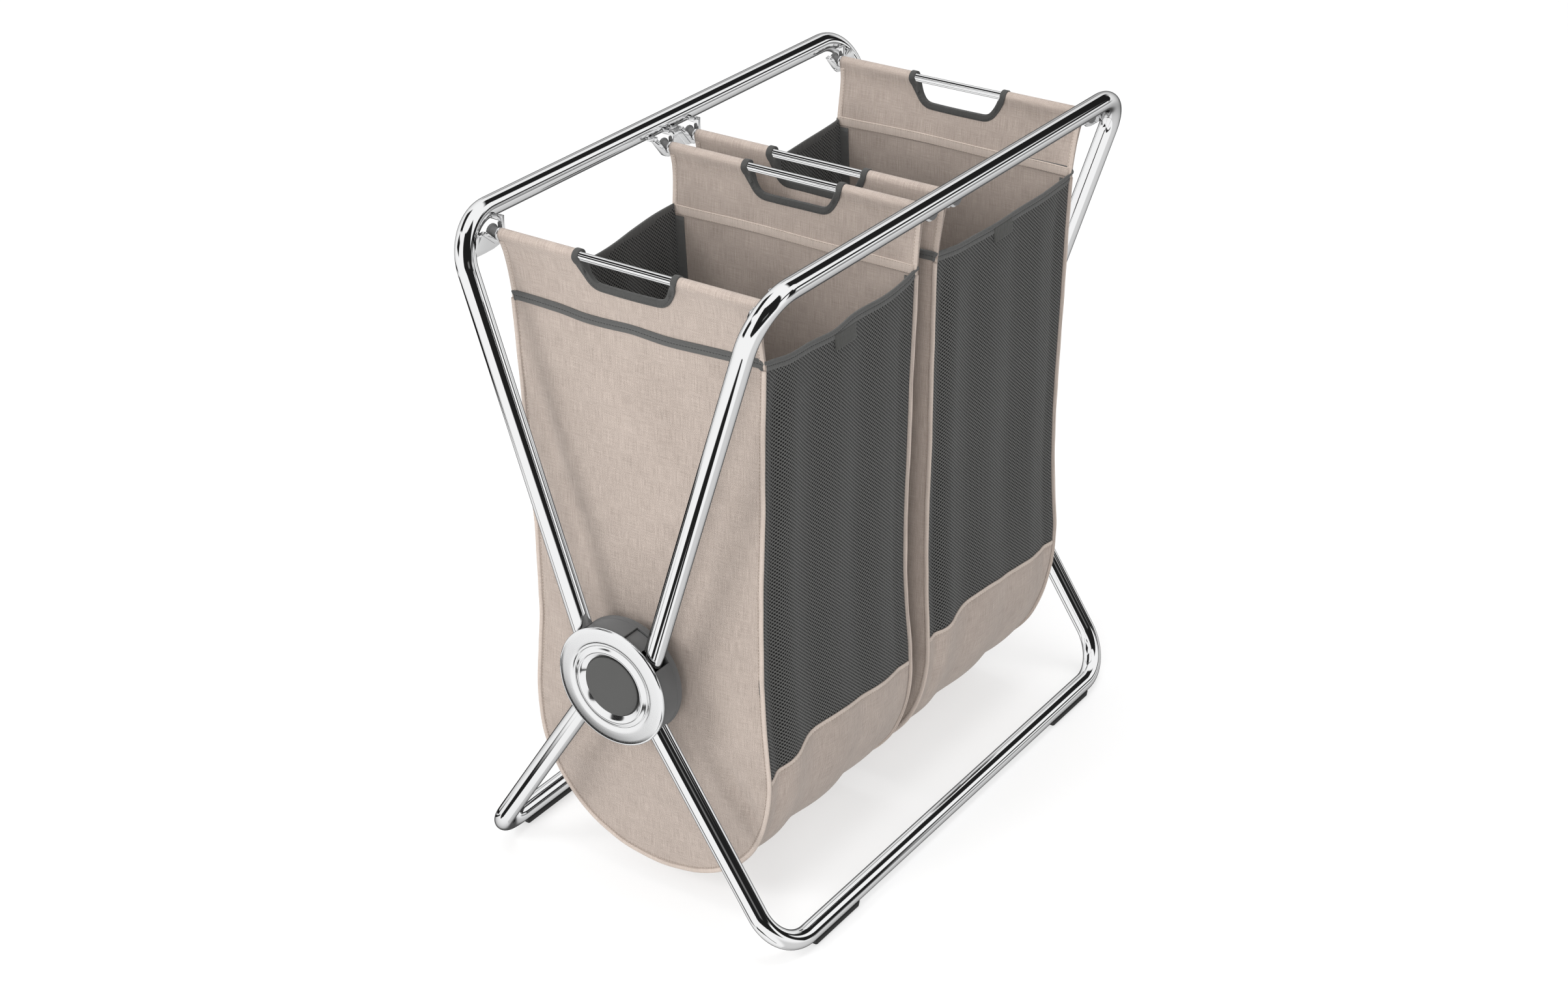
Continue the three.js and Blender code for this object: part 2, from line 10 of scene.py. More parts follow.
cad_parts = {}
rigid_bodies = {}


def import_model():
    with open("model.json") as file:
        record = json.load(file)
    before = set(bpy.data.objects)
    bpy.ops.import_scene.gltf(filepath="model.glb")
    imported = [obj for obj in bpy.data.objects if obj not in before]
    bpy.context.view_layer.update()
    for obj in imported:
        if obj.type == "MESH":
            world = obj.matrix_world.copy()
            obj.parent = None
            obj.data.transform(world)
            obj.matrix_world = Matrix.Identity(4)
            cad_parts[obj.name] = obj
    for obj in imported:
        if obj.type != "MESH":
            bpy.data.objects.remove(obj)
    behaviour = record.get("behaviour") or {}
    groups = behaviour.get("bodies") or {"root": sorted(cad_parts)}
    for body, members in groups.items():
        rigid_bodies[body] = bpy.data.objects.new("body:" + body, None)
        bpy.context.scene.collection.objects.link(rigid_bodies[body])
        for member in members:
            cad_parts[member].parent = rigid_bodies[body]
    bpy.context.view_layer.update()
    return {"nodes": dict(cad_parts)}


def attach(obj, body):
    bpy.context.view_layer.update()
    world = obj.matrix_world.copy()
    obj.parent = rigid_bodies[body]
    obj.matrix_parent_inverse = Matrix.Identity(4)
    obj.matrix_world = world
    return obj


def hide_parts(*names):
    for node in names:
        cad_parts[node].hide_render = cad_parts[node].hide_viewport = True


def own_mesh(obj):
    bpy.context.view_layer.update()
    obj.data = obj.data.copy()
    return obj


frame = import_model()
scene = bpy.context.scene
NODES = frame["nodes"]
rng = np.random.default_rng(7)

# ------------------------------------------------------------------ camera
# Solved from the photograph: the frame is 2408 x 1515.
CAM = Vector((-2147.24, -1483.82, 1768.27)) / 1000
TARGET = Vector((-31.66, 12.88, 363.0)) / 1000
ROLL = -0.01492
cam_data = bpy.data.cameras.new("camera")
cam_data.sensor_width = 36
cam_data.lens = 60.8
cam_data.clip_start, cam_data.clip_end = 0.05, 200
camera = bpy.data.objects.new("camera", cam_data)
scene.collection.objects.link(camera)
look = (TARGET - CAM).normalized()
right = look.cross(Vector((0, 0, 1))).normalized()
up = right.cross(look)
r2 = math.cos(ROLL) * right + math.sin(ROLL) * up
u2 = -math.sin(ROLL) * right + math.cos(ROLL) * up
camera.matrix_world = Matrix((
    (r2.x, u2.x, -look.x, CAM.x), (r2.y, u2.y, -look.y, CAM.y), (r2.z, u2.z, -look.z, CAM.z), (0, 0, 0, 1)))
scene.camera = camera

# ------------------------------------------------------------------ node helpers


class Tree:
    """Short names for building a node tree."""

    def __init__(self, tree):
        self.t = tree
        self.t.nodes.clear()

    def node(self, kind, **props):
        n = self.t.nodes.new(kind)
        for k, v in props.items():
            setattr(n, k, v)
        return n

    def link(self, a, b):
        self.t.links.new(a, b)

    def put(self, socket, value):
        if isinstance(value, bpy.types.NodeSocket):
            self.t.links.new(value, socket)
        else:
            socket.default_value = value

    def math(self, op, a, b=None, c=None, clamp=False):
        n = self.node("ShaderNodeMath", operation=op, use_clamp=clamp)
        for i, v in enumerate((a, b, c)):
            if v is not None:
                self.put(n.inputs[i], v)
        return n.outputs[0]

    def ramp(self, value, a, b, lo=0.0, hi=1.0, kind="SMOOTHSTEP"):
        n = self.node("ShaderNodeMapRange", interpolation_type=kind)
        for i, v in enumerate((value, a, b, lo, hi)):
            self.put(n.inputs[i], v)
        return n.outputs[0]

    def band(self, value, a, b, soft):
        return self.math("MULTIPLY", self.ramp(value, a - soft, a + soft), self.ramp(value, b - soft, b + soft, 1.0, 0.0))

    def noise(self, vector, scale, detail=3.0, rough=0.55, distortion=0.0):
        n = self.node("ShaderNodeTexNoise")
        if vector is not None:
            self.link(vector, n.inputs["Vector"])
        n.inputs["Scale"].default_value = scale
        n.inputs["Detail"].default_value = detail
        n.inputs["Roughness"].default_value = rough
        n.inputs["Distortion"].default_value = distortion
        return n.outputs["Fac"]

    def xyz(self, x, y, z=0.0):
        n = self.node("ShaderNodeCombineXYZ")
        for i, v in enumerate((x, y, z)):
            self.put(n.inputs[i], v)
        return n.outputs[0]

    def mix(self, fac, a, b):
        n = self.node("ShaderNodeMix", data_type="RGBA")
        self.put(n.inputs[0], fac)
        self.put(n.inputs[6], a)
        self.put(n.inputs[7], b)
        return n.outputs[2]

    def bump(self, height, distance, strength=1.0, normal=None):
        n = self.node("ShaderNodeBump")
        n.inputs["Strength"].default_value = strength
        n.inputs["Distance"].default_value = distance
        self.link(height, n.inputs["Height"])
        if normal is not None:
            self.link(normal, n.inputs["Normal"])
        return n.outputs[0]


def lin(r, g, b):
    """sRGB 0-255 to the linear colour that the shader takes."""
    def f(c):
        c /= 255
        return c / 12.92 if c <= 0.04045 else ((c + 0.055) / 1.055) ** 2.4
    return (f(r), f(g), f(b), 1.0)


def material(name, roughness=0.5, metallic=0.0, specular=0.5, sheen=0.0, sheen_rough=0.5, coat=0.0, coat_rough=0.1, ior=1.5, edge=1.0):
    m = bpy.data.materials.new(name)
    m.use_nodes = True
    t = Tree(m.node_tree)
    out = t.node("ShaderNodeOutputMaterial")
    s = t.node("ShaderNodeBsdfPrincipled")
    t.link(s.outputs[0], out.inputs[0])
    s.inputs["Roughness"].default_value = roughness
    s.inputs["Metallic"].default_value = metallic
    s.inputs["Specular IOR Level"].default_value = specular
    s.inputs["Sheen Weight"].default_value = sheen
    s.inputs["Sheen Roughness"].default_value = sheen_rough
    s.inputs["Coat Weight"].default_value = coat
    s.inputs["Coat Roughness"].default_value = coat_rough
    s.inputs["IOR"].default_value = ior
    s.inputs["Specular Tint"].default_value = (edge, edge, edge, 1)
    return m, t, s


def uv_mm(t):
    """The UV map holds metres, so this gives u and v in millimetres."""
    uv = t.node("ShaderNodeUVMap", uv_map="UVMap").outputs[0]
    sep = t.node("ShaderNodeSeparateXYZ")
    t.link(uv, sep.inputs[0])
    return t.math("MULTIPLY", sep.outputs[0], 1000.0), t.math("MULTIPLY", sep.outputs[1], 1000.0)


def object_coords(t):
    return t.node("ShaderNodeTexCoord").outputs["Object"]


# ------------------------------------------------------------------ materials
def make_chrome(name, rough_lo, rough_hi, tone=0.93, scratches=0.35):
    m, t, s = material(name, metallic=1.0, edge=0.3)
    p = object_coords(t)
    cloud = t.noise(p, 9.0, 4.0)
    fine = t.noise(p, 420.0, 5.0, 0.7)
    mapping = t.node("ShaderNodeMapping")
    mapping.inputs["Scale"].default_value = (60.0, 1400.0, 1400.0)
    t.link(p, mapping.inputs["Vector"])
    hair = t.noise(mapping.outputs[0], 1.0, 2.0, 0.6)
    wear = t.math("MULTIPLY_ADD", t.ramp(hair, 0.55, 0.75), scratches * 0.3, t.math("MULTIPLY", cloud, 0.7))
    t.link(t.ramp(wear, 0.2, 0.75, rough_lo, rough_hi), s.inputs["Roughness"])
    tint = t.mix(cloud, (tone, tone, tone * 1.002, 1), (tone * 0.975, tone * 0.978, tone * 0.985, 1))
    t.link(tint, s.inputs["Base Color"])
    t.link(t.bump(fine, 0.00001, 0.25), s.inputs["Normal"])
    return m


def make_moulded(name, colour, rough, grain_mm, bump_mm, specular=0.4, mottling=0.12):
    """Moulded plastic or rubber: a fine grain, a little mottling, edges rubbed a touch lighter."""
    m, t, s = material(name, roughness=rough, specular=specular)
    p = object_coords(t)
    grain = t.noise(p, 1000.0 / grain_mm, 3.0, 0.6)
    cloud = t.noise(p, 14.0, 4.0)
    a = tuple(c * (1 - mottling) for c in colour[:3]) + (1,)
    b = tuple(c * (1 + mottling) for c in colour[:3]) + (1,)
    base = t.mix(t.math("MULTIPLY_ADD", grain, 0.5, t.math("MULTIPLY", cloud, 0.5)), a, b)
    edge = t.node("ShaderNodeNewGeometry").outputs["Pointiness"]
    rub = t.ramp(edge, 0.52, 0.62)
    light = tuple(min(1.0, c * 1.35 + 0.01) for c in colour[:3]) + (1,)
    t.link(t.mix(t.math("MULTIPLY", rub, 0.5), base, light), s.inputs["Base Color"])
    t.link(t.ramp(grain, 0.3, 0.7, rough - 0.07, rough + 0.08), s.inputs["Roughness"])
    t.link(t.bump(grain, bump_mm / 1000, 0.6), s.inputs["Normal"])
    return m


def make_cloth(name, light, dark, thread=0.6):
    """Linen-look polyester: a diagonal twill of 1.2 mm, slubs along both threads, slight clouding."""
    m, t, s = material(name, roughness=0.92, specular=0.2, sheen=0.12, sheen_rough=0.6)
    u, v = uv_mm(t)
    twill = t.math("SINE", t.math("MULTIPLY", t.math("ADD", u, v), 0.7071 * 2 * math.pi / 1.15))
    twill = t.math("MULTIPLY_ADD", twill, 0.5, 0.5)
    warp = t.noise(t.xyz(t.math("MULTIPLY", u, 1.5), t.math("MULTIPLY", v, 0.045)), 1.0, 3.0, 0.62)
    weft = t.noise(t.xyz(t.math("MULTIPLY", u, 0.045), t.math("MULTIPLY", v, 1.5), 7.0), 1.0, 3.0, 0.62)
    yarn = t.noise(t.xyz(u, v, 3.0), 1.6, 3.0, 0.7)
    cloud = t.noise(t.xyz(u, v, 5.0), 0.014, 3.0)
    f = t.math("MULTIPLY_ADD", twill, 0.34, t.math("MULTIPLY", t.ramp(warp, 0.32, 0.68, kind="LINEAR"), 0.34))
    f = t.math("MULTIPLY_ADD", t.ramp(weft, 0.32, 0.68, kind="LINEAR"), 0.24, f)
    f = t.math("MULTIPLY_ADD", t.ramp(yarn, 0.3, 0.7, kind="LINEAR"), 0.26, f)
    f = t.math("ADD", f, t.math("MULTIPLY_ADD", cloud, 0.24, -0.24), clamp=True)
    t.link(t.mix(f, dark, light), s.inputs["Base Color"])
    h = t.math("MULTIPLY_ADD", twill, 0.5, t.math("MULTIPLY", t.math("ADD", warp, weft), 0.55))
    h = t.math("MULTIPLY_ADD", yarn, 0.3, h)
    t.link(t.bump(h, 0.00022 * thread, 0.7), s.inputs["Normal"])
    t.link(t.ramp(f, 0.0, 1.0, 0.96, 0.84), s.inputs["Roughness"])
    return m


def make_net(name):
    """Spacer net: oval holes on a lattice of columns 2.35 mm apart, 4.2 mm pitch, every other column offset. The net
    is opaque and its holes are painted near-black: painted shade of the bag's inside seen through them.
    """
    m, t, s = material(name, roughness=0.72, specular=0.3, sheen=0.08)
    u, v = uv_mm(t)
    wob = t.noise(t.xyz(u, v, 1.0), 0.35, 2.0)
    uu = t.math("ADD", t.math("DIVIDE", u, 4.7), t.math("MULTIPLY_ADD", wob, 0.06, -0.03))
    vv = t.math("DIVIDE", v, 4.2)

    def cell(du, dv):
        a = t.math("SUBTRACT", t.math("FRACT", t.math("ADD", uu, du)), 0.5)
        b = t.math("SUBTRACT", t.math("FRACT", t.math("ADD", vv, dv)), 0.5)
        a, b = t.math("MULTIPLY", a, 4.7), t.math("MULTIPLY", b, 4.2)
        return t.math("SQRT", t.math("ADD", t.math("MULTIPLY", a, a), t.math("MULTIPLY", t.math("MULTIPLY", b, b), 1.15)))

    d = t.math("MINIMUM", cell(0.0, 0.0), cell(0.5, 0.5))
    fibre = t.noise(t.xyz(u, v, 2.0), 2.4, 3.0, 0.7)
    edge = t.math("MULTIPLY_ADD", fibre, 0.35, 0.98)
    solid = t.ramp(t.math("SUBTRACT", d, edge), -0.18, 0.28)
    yarn = t.mix(fibre, lin(50, 50, 49), lin(114, 114, 112))
    cloud = t.noise(t.xyz(u, v, 9.0), 0.02, 2.0)
    yarn = t.mix(t.math("MULTIPLY", cloud, 0.25), yarn, lin(68, 68, 66))
    # the holes get a near-black colour: painted shade standing in for the dark inside of the bag seen through the
    # openings
    t.link(t.mix(solid, lin(6, 6, 6), yarn), s.inputs["Base Color"])
    h = t.math("MULTIPLY_ADD", fibre, 0.25, t.math("MULTIPLY", t.ramp(d, 0.5, 1.5), 1.0))
    t.link(t.bump(h, 0.0006, 0.8), s.inputs["Normal"])
    t.link(t.ramp(solid, 0.0, 1.0, 0.95, 0.66), s.inputs["Roughness"])
    return m


def make_tape(name, colour, rib=0.9):
    """Woven binding tape: fine ribs along its length."""
    m, t, s = material(name, roughness=0.8, specular=0.25, sheen=0.1)
    u, v = uv_mm(t)
    ribs = t.math("MULTIPLY_ADD", t.math("SINE", t.math("MULTIPLY", v, 2 * math.pi / rib)), 0.5, 0.5)
    cross = t.math("MULTIPLY_ADD", t.math("SINE", t.math("MULTIPLY", u, 2 * math.pi / 0.7)), 0.5, 0.5)
    cloud = t.noise(t.xyz(t.math("MULTIPLY", u, 0.06), t.math("MULTIPLY", v, 0.4)), 1.0, 4.0)
    yarn = t.noise(t.xyz(u, v, 3.0), 2.2, 3.0, 0.7)
    f = t.math("MULTIPLY_ADD", ribs, 0.3, t.math("MULTIPLY", cross, 0.15))
    f = t.math("MULTIPLY_ADD", cloud, 0.35, t.math("MULTIPLY_ADD", yarn, 0.3, f))
    dark = tuple(c * 0.72 for c in colour[:3]) + (1,)
    light = tuple(c * 1.3 for c in colour[:3]) + (1,)
    t.link(t.mix(f, dark, light), s.inputs["Base Color"])
    crease = t.noise(t.xyz(t.math("MULTIPLY", u, 0.22), t.math("MULTIPLY", v, 0.10), 11.0), 1.0, 2.0, 0.5, 0.6)
    t.link(t.bump(crease, 0.0016, 0.55, t.bump(f, 0.0002, 0.7)), s.inputs["Normal"])
    t.link(t.ramp(f, 0.0, 1.0, 0.88, 0.72), s.inputs["Roughness"])
    return m


def make_thread(name, colour):
    m, t, s = material(name, roughness=0.75, specular=0.3)
    p = object_coords(t)
    twist = t.noise(p, 1800.0, 2.0)
    dark = tuple(c * 0.75 for c in colour[:3]) + (1,)
    light = tuple(min(1, c * 1.2) for c in colour[:3]) + (1,)
    t.link(t.mix(twist, dark, light), s.inputs["Base Color"])
    t.link(t.bump(twist, 0.0001, 0.5), s.inputs["Normal"])
    return m


CHROME = make_chrome("chrome_tube", 0.015, 0.05)
CAST = make_chrome("chrome_cast", 0.05, 0.12, 0.86)
SATIN = make_chrome("chrome_disc", 0.10, 0.16, 0.92)
STEEL = make_chrome("zinc_steel", 0.28, 0.45, 0.6)
DRUM = make_moulded("drum_plastic", lin(84, 84, 84), 0.42, 0.5, 0.02)
CAPMAT = make_moulded("cap_plastic", lin(72, 72, 71), 0.5, 0.35, 0.03)
NYLON = make_moulded("nylon", lin(216, 213, 204), 0.55, 0.8, 0.02)
RUBBER = make_moulded("grey_rubber", lin(98, 98, 98), 0.55, 0.7, 0.02)
FOOT = make_moulded("foot_rubber", lin(34, 34, 34), 0.75, 0.6, 0.04)
CLOTH = make_cloth("bin_cloth", (0.545, 0.463, 0.410, 1), (0.195, 0.159, 0.136, 1))
WELT = make_cloth("welt_cloth", (0.630, 0.542, 0.482, 1), (0.33, 0.275, 0.238, 1))
NET = make_net("bin_net")
TAPE = make_tape("binding_tape", lin(82, 82, 81))
GRIP_TAPE = make_tape("grip_tape", lin(66, 66, 65))
TAB = make_tape("plain_tab", lin(70, 70, 68), 0.5)
THREAD = make_thread("beige_thread", (0.36, 0.30, 0.25, 1))
THREAD_D = make_thread("dark_thread", lin(60, 60, 60))

for name, node in NODES.items():
    m = STEEL
    if "housing" in name or "back_plate" in name:
        m = DRUM
    elif "centre_cap" in name:
        m = CAPMAT
    elif "washer" in name:
        m = NYLON
    elif "trim_disc" in name:
        m = SATIN
    elif "loop" in name or "rod_" in name:
        m = CHROME
    elif "hook" in name:
        m = CAST
    elif "foot" in name:
        m = FOOT
    elif "panel" in name or "bottom" in name:
        m = CLOTH
    elif "mesh" in name:
        m = NET
    if name.startswith("rod_end"):
        m = RUBBER
    for s in node.material_slots:
        s.material = m

# ------------------------------------------------------------------ mesh helpers


def table(pairs):
    """A smooth function through (key, value) pairs."""
    p = sorted(pairs)
    k = np.array([a for a, _ in p], float)
    v = np.array([b for _, b in p], float)
    m = np.zeros(len(k))
    d = np.diff(v) / np.diff(k)
    m[1:-1] = np.where(d[:-1] * d[1:] > 0, 2 * d[:-1] * d[1:] / (d[:-1] + d[1:] + 1e-12), 0)
    m[0], m[-1] = d[0], d[-1]

    def f(x):
        x = np.clip(np.asarray(x, float), k[0], k[-1])
        i = np.clip(np.searchsorted(k, x) - 1, 0, len(k) - 2)
        h = k[i + 1] - k[i]
        t = (x - k[i]) / h
        return ((2 * t**3 - 3 * t**2 + 1) * v[i] + (t**3 - 2 * t**2 + t) * h * m[i]
                + (-2 * t**3 + 3 * t**2) * v[i + 1] + (t**3 - t**2) * h * m[i + 1])
    return f


def spline(points, n, closed=False, relax=0):
    """Catmull-Rom through the points, spaced evenly."""
    p = np.asarray(points, float)
    m = len(p)
    out = []
    for i in range(m if closed else m - 1):
        if closed:
            a, b, c, d = p[(i - 1) % m], p[i], p[(i + 1) % m], p[(i + 2) % m]
        else:
            b, c = p[i], p[i + 1]
            a = p[i - 1] if i else 2 * b - c
            d = p[i + 2] if i + 2 < m else 2 * c - b
        for t in np.linspace(0, 1, 24, endpoint=False):
            out.append(0.5 * (2 * b + (c - a) * t + (2 * a - 5 * b + 4 * c - d) * t * t + (3 * b - a - 3 * c + d) * t**3))
    if not closed:
        out.append(p[-1])
    q = np.array(out)
    for _ in range(relax):
        if closed:
            q = (np.roll(q, 1, 0) + 2 * q + np.roll(q, -1, 0)) / 4
        else:
            q[1:-1] = (q[:-2] + 2 * q[1:-1] + q[2:]) / 4
    return even(q, n, closed)


def even(q, n, closed=False):
    q = np.asarray(q, float)
    if closed:
        q = np.vstack([q, q[:1]])
    s = np.concatenate([[0], np.cumsum(np.linalg.norm(np.diff(q, axis=0), axis=1))])
    at = np.linspace(0, s[-1], n + 1)[:-1] if closed else np.linspace(0, s[-1], n)
    return np.stack([np.interp(at, s, q[:, k]) for k in range(q.shape[1])], 1)


def tangents(p, closed=False):
    d = (np.roll(p, -1, 0) - np.roll(p, 1, 0)) if closed else np.gradient(p, axis=0)
    return d / np.linalg.norm(d, axis=1, keepdims=True)


def unit(v):
    v = np.asarray(v, float)
    return v / np.maximum(np.linalg.norm(v, axis=-1, keepdims=True), 1e-12)


def grid_faces(nu, nv, off=0, wrap_u=False, flip=False):
    """Quads of a grid of nu by nv points, index = off + i * nv + j."""
    i = np.arange(nu if wrap_u else nu - 1)[:, None]
    j = np.arange(nv - 1)[None, :]
    a = off + i * nv + j
    b = off + ((i + 1) % nu) * nv + j
    f = np.stack([a, b, b + 1, a + 1], -1).reshape(-1, 4)
    return f[:, ::-1] if flip else f


def vertex_normals(v, f):
    a = v[f[:, 2]] - v[f[:, 0]]
    b = v[f[:, 3]] - v[f[:, 1]]
    n = np.cross(a, b)
    out = np.zeros_like(v)
    for k in range(4):
        np.add.at(out, f[:, k], n)
    return unit(out)


def shell(v, f, thick):
    """Gives a quad sheet its thickness, behind its faces, and closes its rim."""
    n = vertex_normals(v, f)
    m = len(v)
    back = v - n * thick
    edges = {}
    for q in f:
        for k in range(4):
            a, b = int(q[k]), int(q[(k + 1) % 4])
            if (b, a) in edges:
                del edges[(b, a)]
            else:
                edges[(a, b)] = 1
    rim = np.array([(b, a, a + m, b + m) for a, b in edges], int).reshape(-1, 4)
    return np.vstack([v, back]), np.vstack([f, f[:, ::-1] + m, rim])


def make(name, verts, faces, mat, uv=None, smooth=True, sharp=None):
    me = bpy.data.meshes.new(name)
    verts = np.asarray(verts, float) / 1000
    me.from_pydata(verts.tolist(), [], [tuple(int(i) for i in f) for f in faces])
    if uv is not None:
        layer = me.uv_layers.new(name="UVMap")
        idx = np.empty(len(me.loops), np.int32)
        me.loops.foreach_get("vertex_index", idx)
        layer.data.foreach_set("uv", (np.asarray(uv, float)[idx] / 1000).astype(np.float32).ravel())
    me.polygons.foreach_set("use_smooth", [smooth] * len(me.polygons))
    me.materials.append(mat)
    me.update()
    if sharp is not None:
        me.set_sharp_from_angle(angle=math.radians(sharp))
    o = bpy.data.objects.new(name, me)
    scene.collection.objects.link(o)
    return o


def put(o, body, replaces=()):
    if replaces:
        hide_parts(*([replaces] if isinstance(replaces, str) else replaces))
    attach(o, body)
    if body.startswith("bag"):
        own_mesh(o)
    return o


def sweep(path, normals, section, closed=False, cap=True, scale=None):
    """A closed section of (a, b) pairs along the path: a along the normal, b along normal x tangent."""
    p = np.asarray(path, float)
    t = tangents(p, closed)
    n = np.asarray(normals, float)
    n = np.broadcast_to(n, p.shape)
    n = unit(n - (n * t).sum(1, keepdims=True) * t)
    b = np.cross(n, t)
    s = np.asarray(section, float)
    k = len(s)
    sc = np.ones(len(p)) if scale is None else np.asarray(scale, float)
    v = p[:, None] + (n[:, None] * s[None, :, :1] + b[:, None] * s[None, :, 1:]) * sc[:, None, None]
    m = len(p)
    faces = []
    for i in range(m if closed else m - 1):
        a0, a1 = i * k, ((i + 1) % m) * k
        for j in range(k):
            j2 = (j + 1) % k
            faces.append((a0 + j, a0 + j2, a1 + j2, a1 + j))
    if cap and not closed:
        faces.append(tuple(range(k - 1, -1, -1)))
        faces.append(tuple((m - 1) * k + j for j in range(k)))
    arc = np.concatenate([[0], np.cumsum(np.linalg.norm(np.diff(p, axis=0), axis=1))])
    around = np.concatenate([[0], np.cumsum(np.linalg.norm(np.diff(s, axis=0), axis=1))])
    uv = np.stack([np.repeat(arc, k), np.tile(around, m)], 1)
    area = 0.0
    for j in range(k):
        a1, b1 = s[j]
        a2, b2 = s[(j + 1) % k]
        area += a1 * b2 - a2 * b1
    if area > 0:
        faces = [f[::-1] for f in faces]
    return v.reshape(-1, 3), faces, uv


def rounded(w, h, r, n=3):
    """A rounded rectangle, w along a and h along b."""
    out = []
    for cx, cy, a0 in ((w / 2 - r, h / 2 - r, 0), (-w / 2 + r, h / 2 - r, 90), (-w / 2 + r, -h / 2 + r, 180), (w / 2 - r, -h / 2 + r, 270)):
        for i in range(n + 1):
            a = math.radians(a0 + 90 * i / n)
            out.append((cx + r * math.cos(a), cy + r * math.sin(a)))
    return out


def oval(w, h, n=12):
    return [(w / 2 * math.cos(2 * math.pi * i / n), h / 2 * math.sin(2 * math.pi * i / n)) for i in range(n)]


def lathe(profile, axis="x", n=96, closed=False):
    """Profile of (radius, along) pairs turned about an axis through the origin. Points on the axis become poles."""
    v, f = [], []
    rings = []
    for r, s in profile:
        if r < 1e-6:
            rings.append([len(v)])
            v.append((0, 0, s))
        else:
            rings.append(list(range(len(v), len(v) + n)))
            for i in range(n):
                a = 2 * math.pi * i / n
                v.append((r * math.cos(a), r * math.sin(a), s))
    m = len(rings)
    for i in range(m if closed else m - 1):
        a, b = rings[i], rings[(i + 1) % m]
        for j in range(n):
            j2 = (j + 1) % n
            if len(a) == 1 and len(b) == 1:
                continue
            if len(a) == 1:
                f.append((a[0], b[j2], b[j]))
            elif len(b) == 1:
                f.append((a[j], a[j2], b[0]))
            else:
                f.append((a[j], a[j2], b[j2], b[j]))
    v = np.array(v, float)
    if axis == "x":
        v = v[:, [2, 0, 1]]
    elif axis == "y":
        v = v[:, [1, 2, 0]]
    return v, outward(v, f)


def outward(v, f):
    vol = 0.0
    for q in f:
        for k in range(1, len(q) - 1):
            vol += np.dot(v[q[0]], np.cross(v[q[k]], v[q[k + 1]]))
    return f if vol > 0 else [tuple(reversed(q)) for q in f]


STITCH = None


def stitches(path, normals, pitch=4.0, length=2.7, r=0.42, lift=0.15):
    """Rows of short raised threads along a path."""
    p = np.asarray(path, float)
    n = np.broadcast_to(np.asarray(normals, float), p.shape)
    s = np.concatenate([[0], np.cumsum(np.linalg.norm(np.diff(p, axis=0), axis=1))])
    count = max(2, int(s[-1] / pitch))
    at = (np.arange(count) + 0.5) * s[-1] / count
    get = lambda x, q: np.stack([np.interp(x, s, q[:, k]) for k in range(3)], 1)
    a, b, c = get(at - length / 2, p), get(at, p), get(at + length / 2, p)
    nn = unit(get(at, n))
    v, f = [], []
    for i in range(count):
        t = unit(c[i] - a[i])
        side = unit(np.cross(nn[i], t))
        o = len(v)
        v.append(a[i] - nn[i] * r * 0.6)
        for q, k in ((a[i] * 0.72 + b[i] * 0.28, 0.8), (b[i] * 0.28 + c[i] * 0.72, 0.8)):
            for j in range(6):
                w = 2 * math.pi * j / 6
                v.append(q + nn[i] * (lift + r * k * math.cos(w)) + side * r * k * 1.15 * math.sin(w))
        v.append(c[i] - nn[i] * r * 0.6)
        for j in range(6):
            j2 = (j + 1) % 6
            f.append((o, o + 1 + j2, o + 1 + j))
            f.append((o + 1 + j, o + 1 + j2, o + 7 + j2, o + 7 + j))
            f.append((o + 7 + j, o + 7 + j2, o + 13))
    return np.array(v), f


def joined(parts):
    """Joins (verts, faces[, uv]) tuples."""
    v, f, uv, o = [], [], [], 0
    for part in parts:
        v.append(np.asarray(part[0], float))
        f += [tuple(int(i) + o for i in q) for q in part[1]]
        uv.append(np.asarray(part[2], float) if len(part) > 2 else np.zeros((len(part[0]), 2)))
        o += len(part[0])
    return np.vstack(v), f, np.vstack(uv)


# ------------------------------------------------------------------ frame tubes
TUBE_R = 11.0
LEG_X = 349.0
TOP_Y, TOP_Z, BOT_Y, BOT_Z = 184.6, 758.5, 198.4, 15.0
HUB_Z = 290.0
UPPER_SLOPE, LOWER_SLOPE = 0.3277, 0.6536
BEND_R = 52.0


def leg_y(side, upper, z):
    return side * (TOP_Y - UPPER_SLOPE * (TOP_Z - HUB_Z - z)) if upper else side * (BOT_Y - LOWER_SLOPE * (HUB_Z + z - BOT_Z))


def leg_dir(side, upper):
    k = UPPER_SLOPE if upper else LOWER_SLOPE
    n = math.hypot(k, 1)
    return (side * k / n, (1 if upper else -1) / n)


def loop_line(side, upper, steps=20):
    z = 20.0 if upper else -22.0
    ey = leg_y(side, upper, z)
    ry, rz = side * (TOP_Y if upper else BOT_Y), (TOP_Z if upper else BOT_Z)
    c = [np.array(q, float) for q in ((-LEG_X, ey, HUB_Z + z), (-LEG_X, ry, rz), (LEG_X, ry, rz), (LEG_X, ey, HUB_Z + z))]
    pts = []

    def straight(a, b, step=60):
        k = max(1, int(np.linalg.norm(b - a) / step))
        return [a + (b - a) * i / k for i in range(k)]

    last = c[0]
    for i in (1, 2):
        d1, d2 = unit(c[i] - c[i - 1]), unit(c[i + 1] - c[i])
        turn = math.acos(float(np.clip(d1 @ d2, -1, 1)))
        start = c[i] - d1 * BEND_R * math.tan(turn / 2)
        inward = unit(d2 - d1 * (d1 @ d2))
        centre = start + inward * BEND_R
        pts += straight(last, start)
        for k in range(steps + 1):
            a = turn * k / steps
            last = centre - inward * BEND_R * math.cos(a) + d1 * BEND_R * math.sin(a)
            if k < steps:
                pts.append(last)
    pts += straight(last, c[3]) + [c[3]]
    return np.array(pts)


def loop_normal(side, upper):
    dy, dz = leg_dir(side, upper)
    return np.array([0.0, -dz, dy])


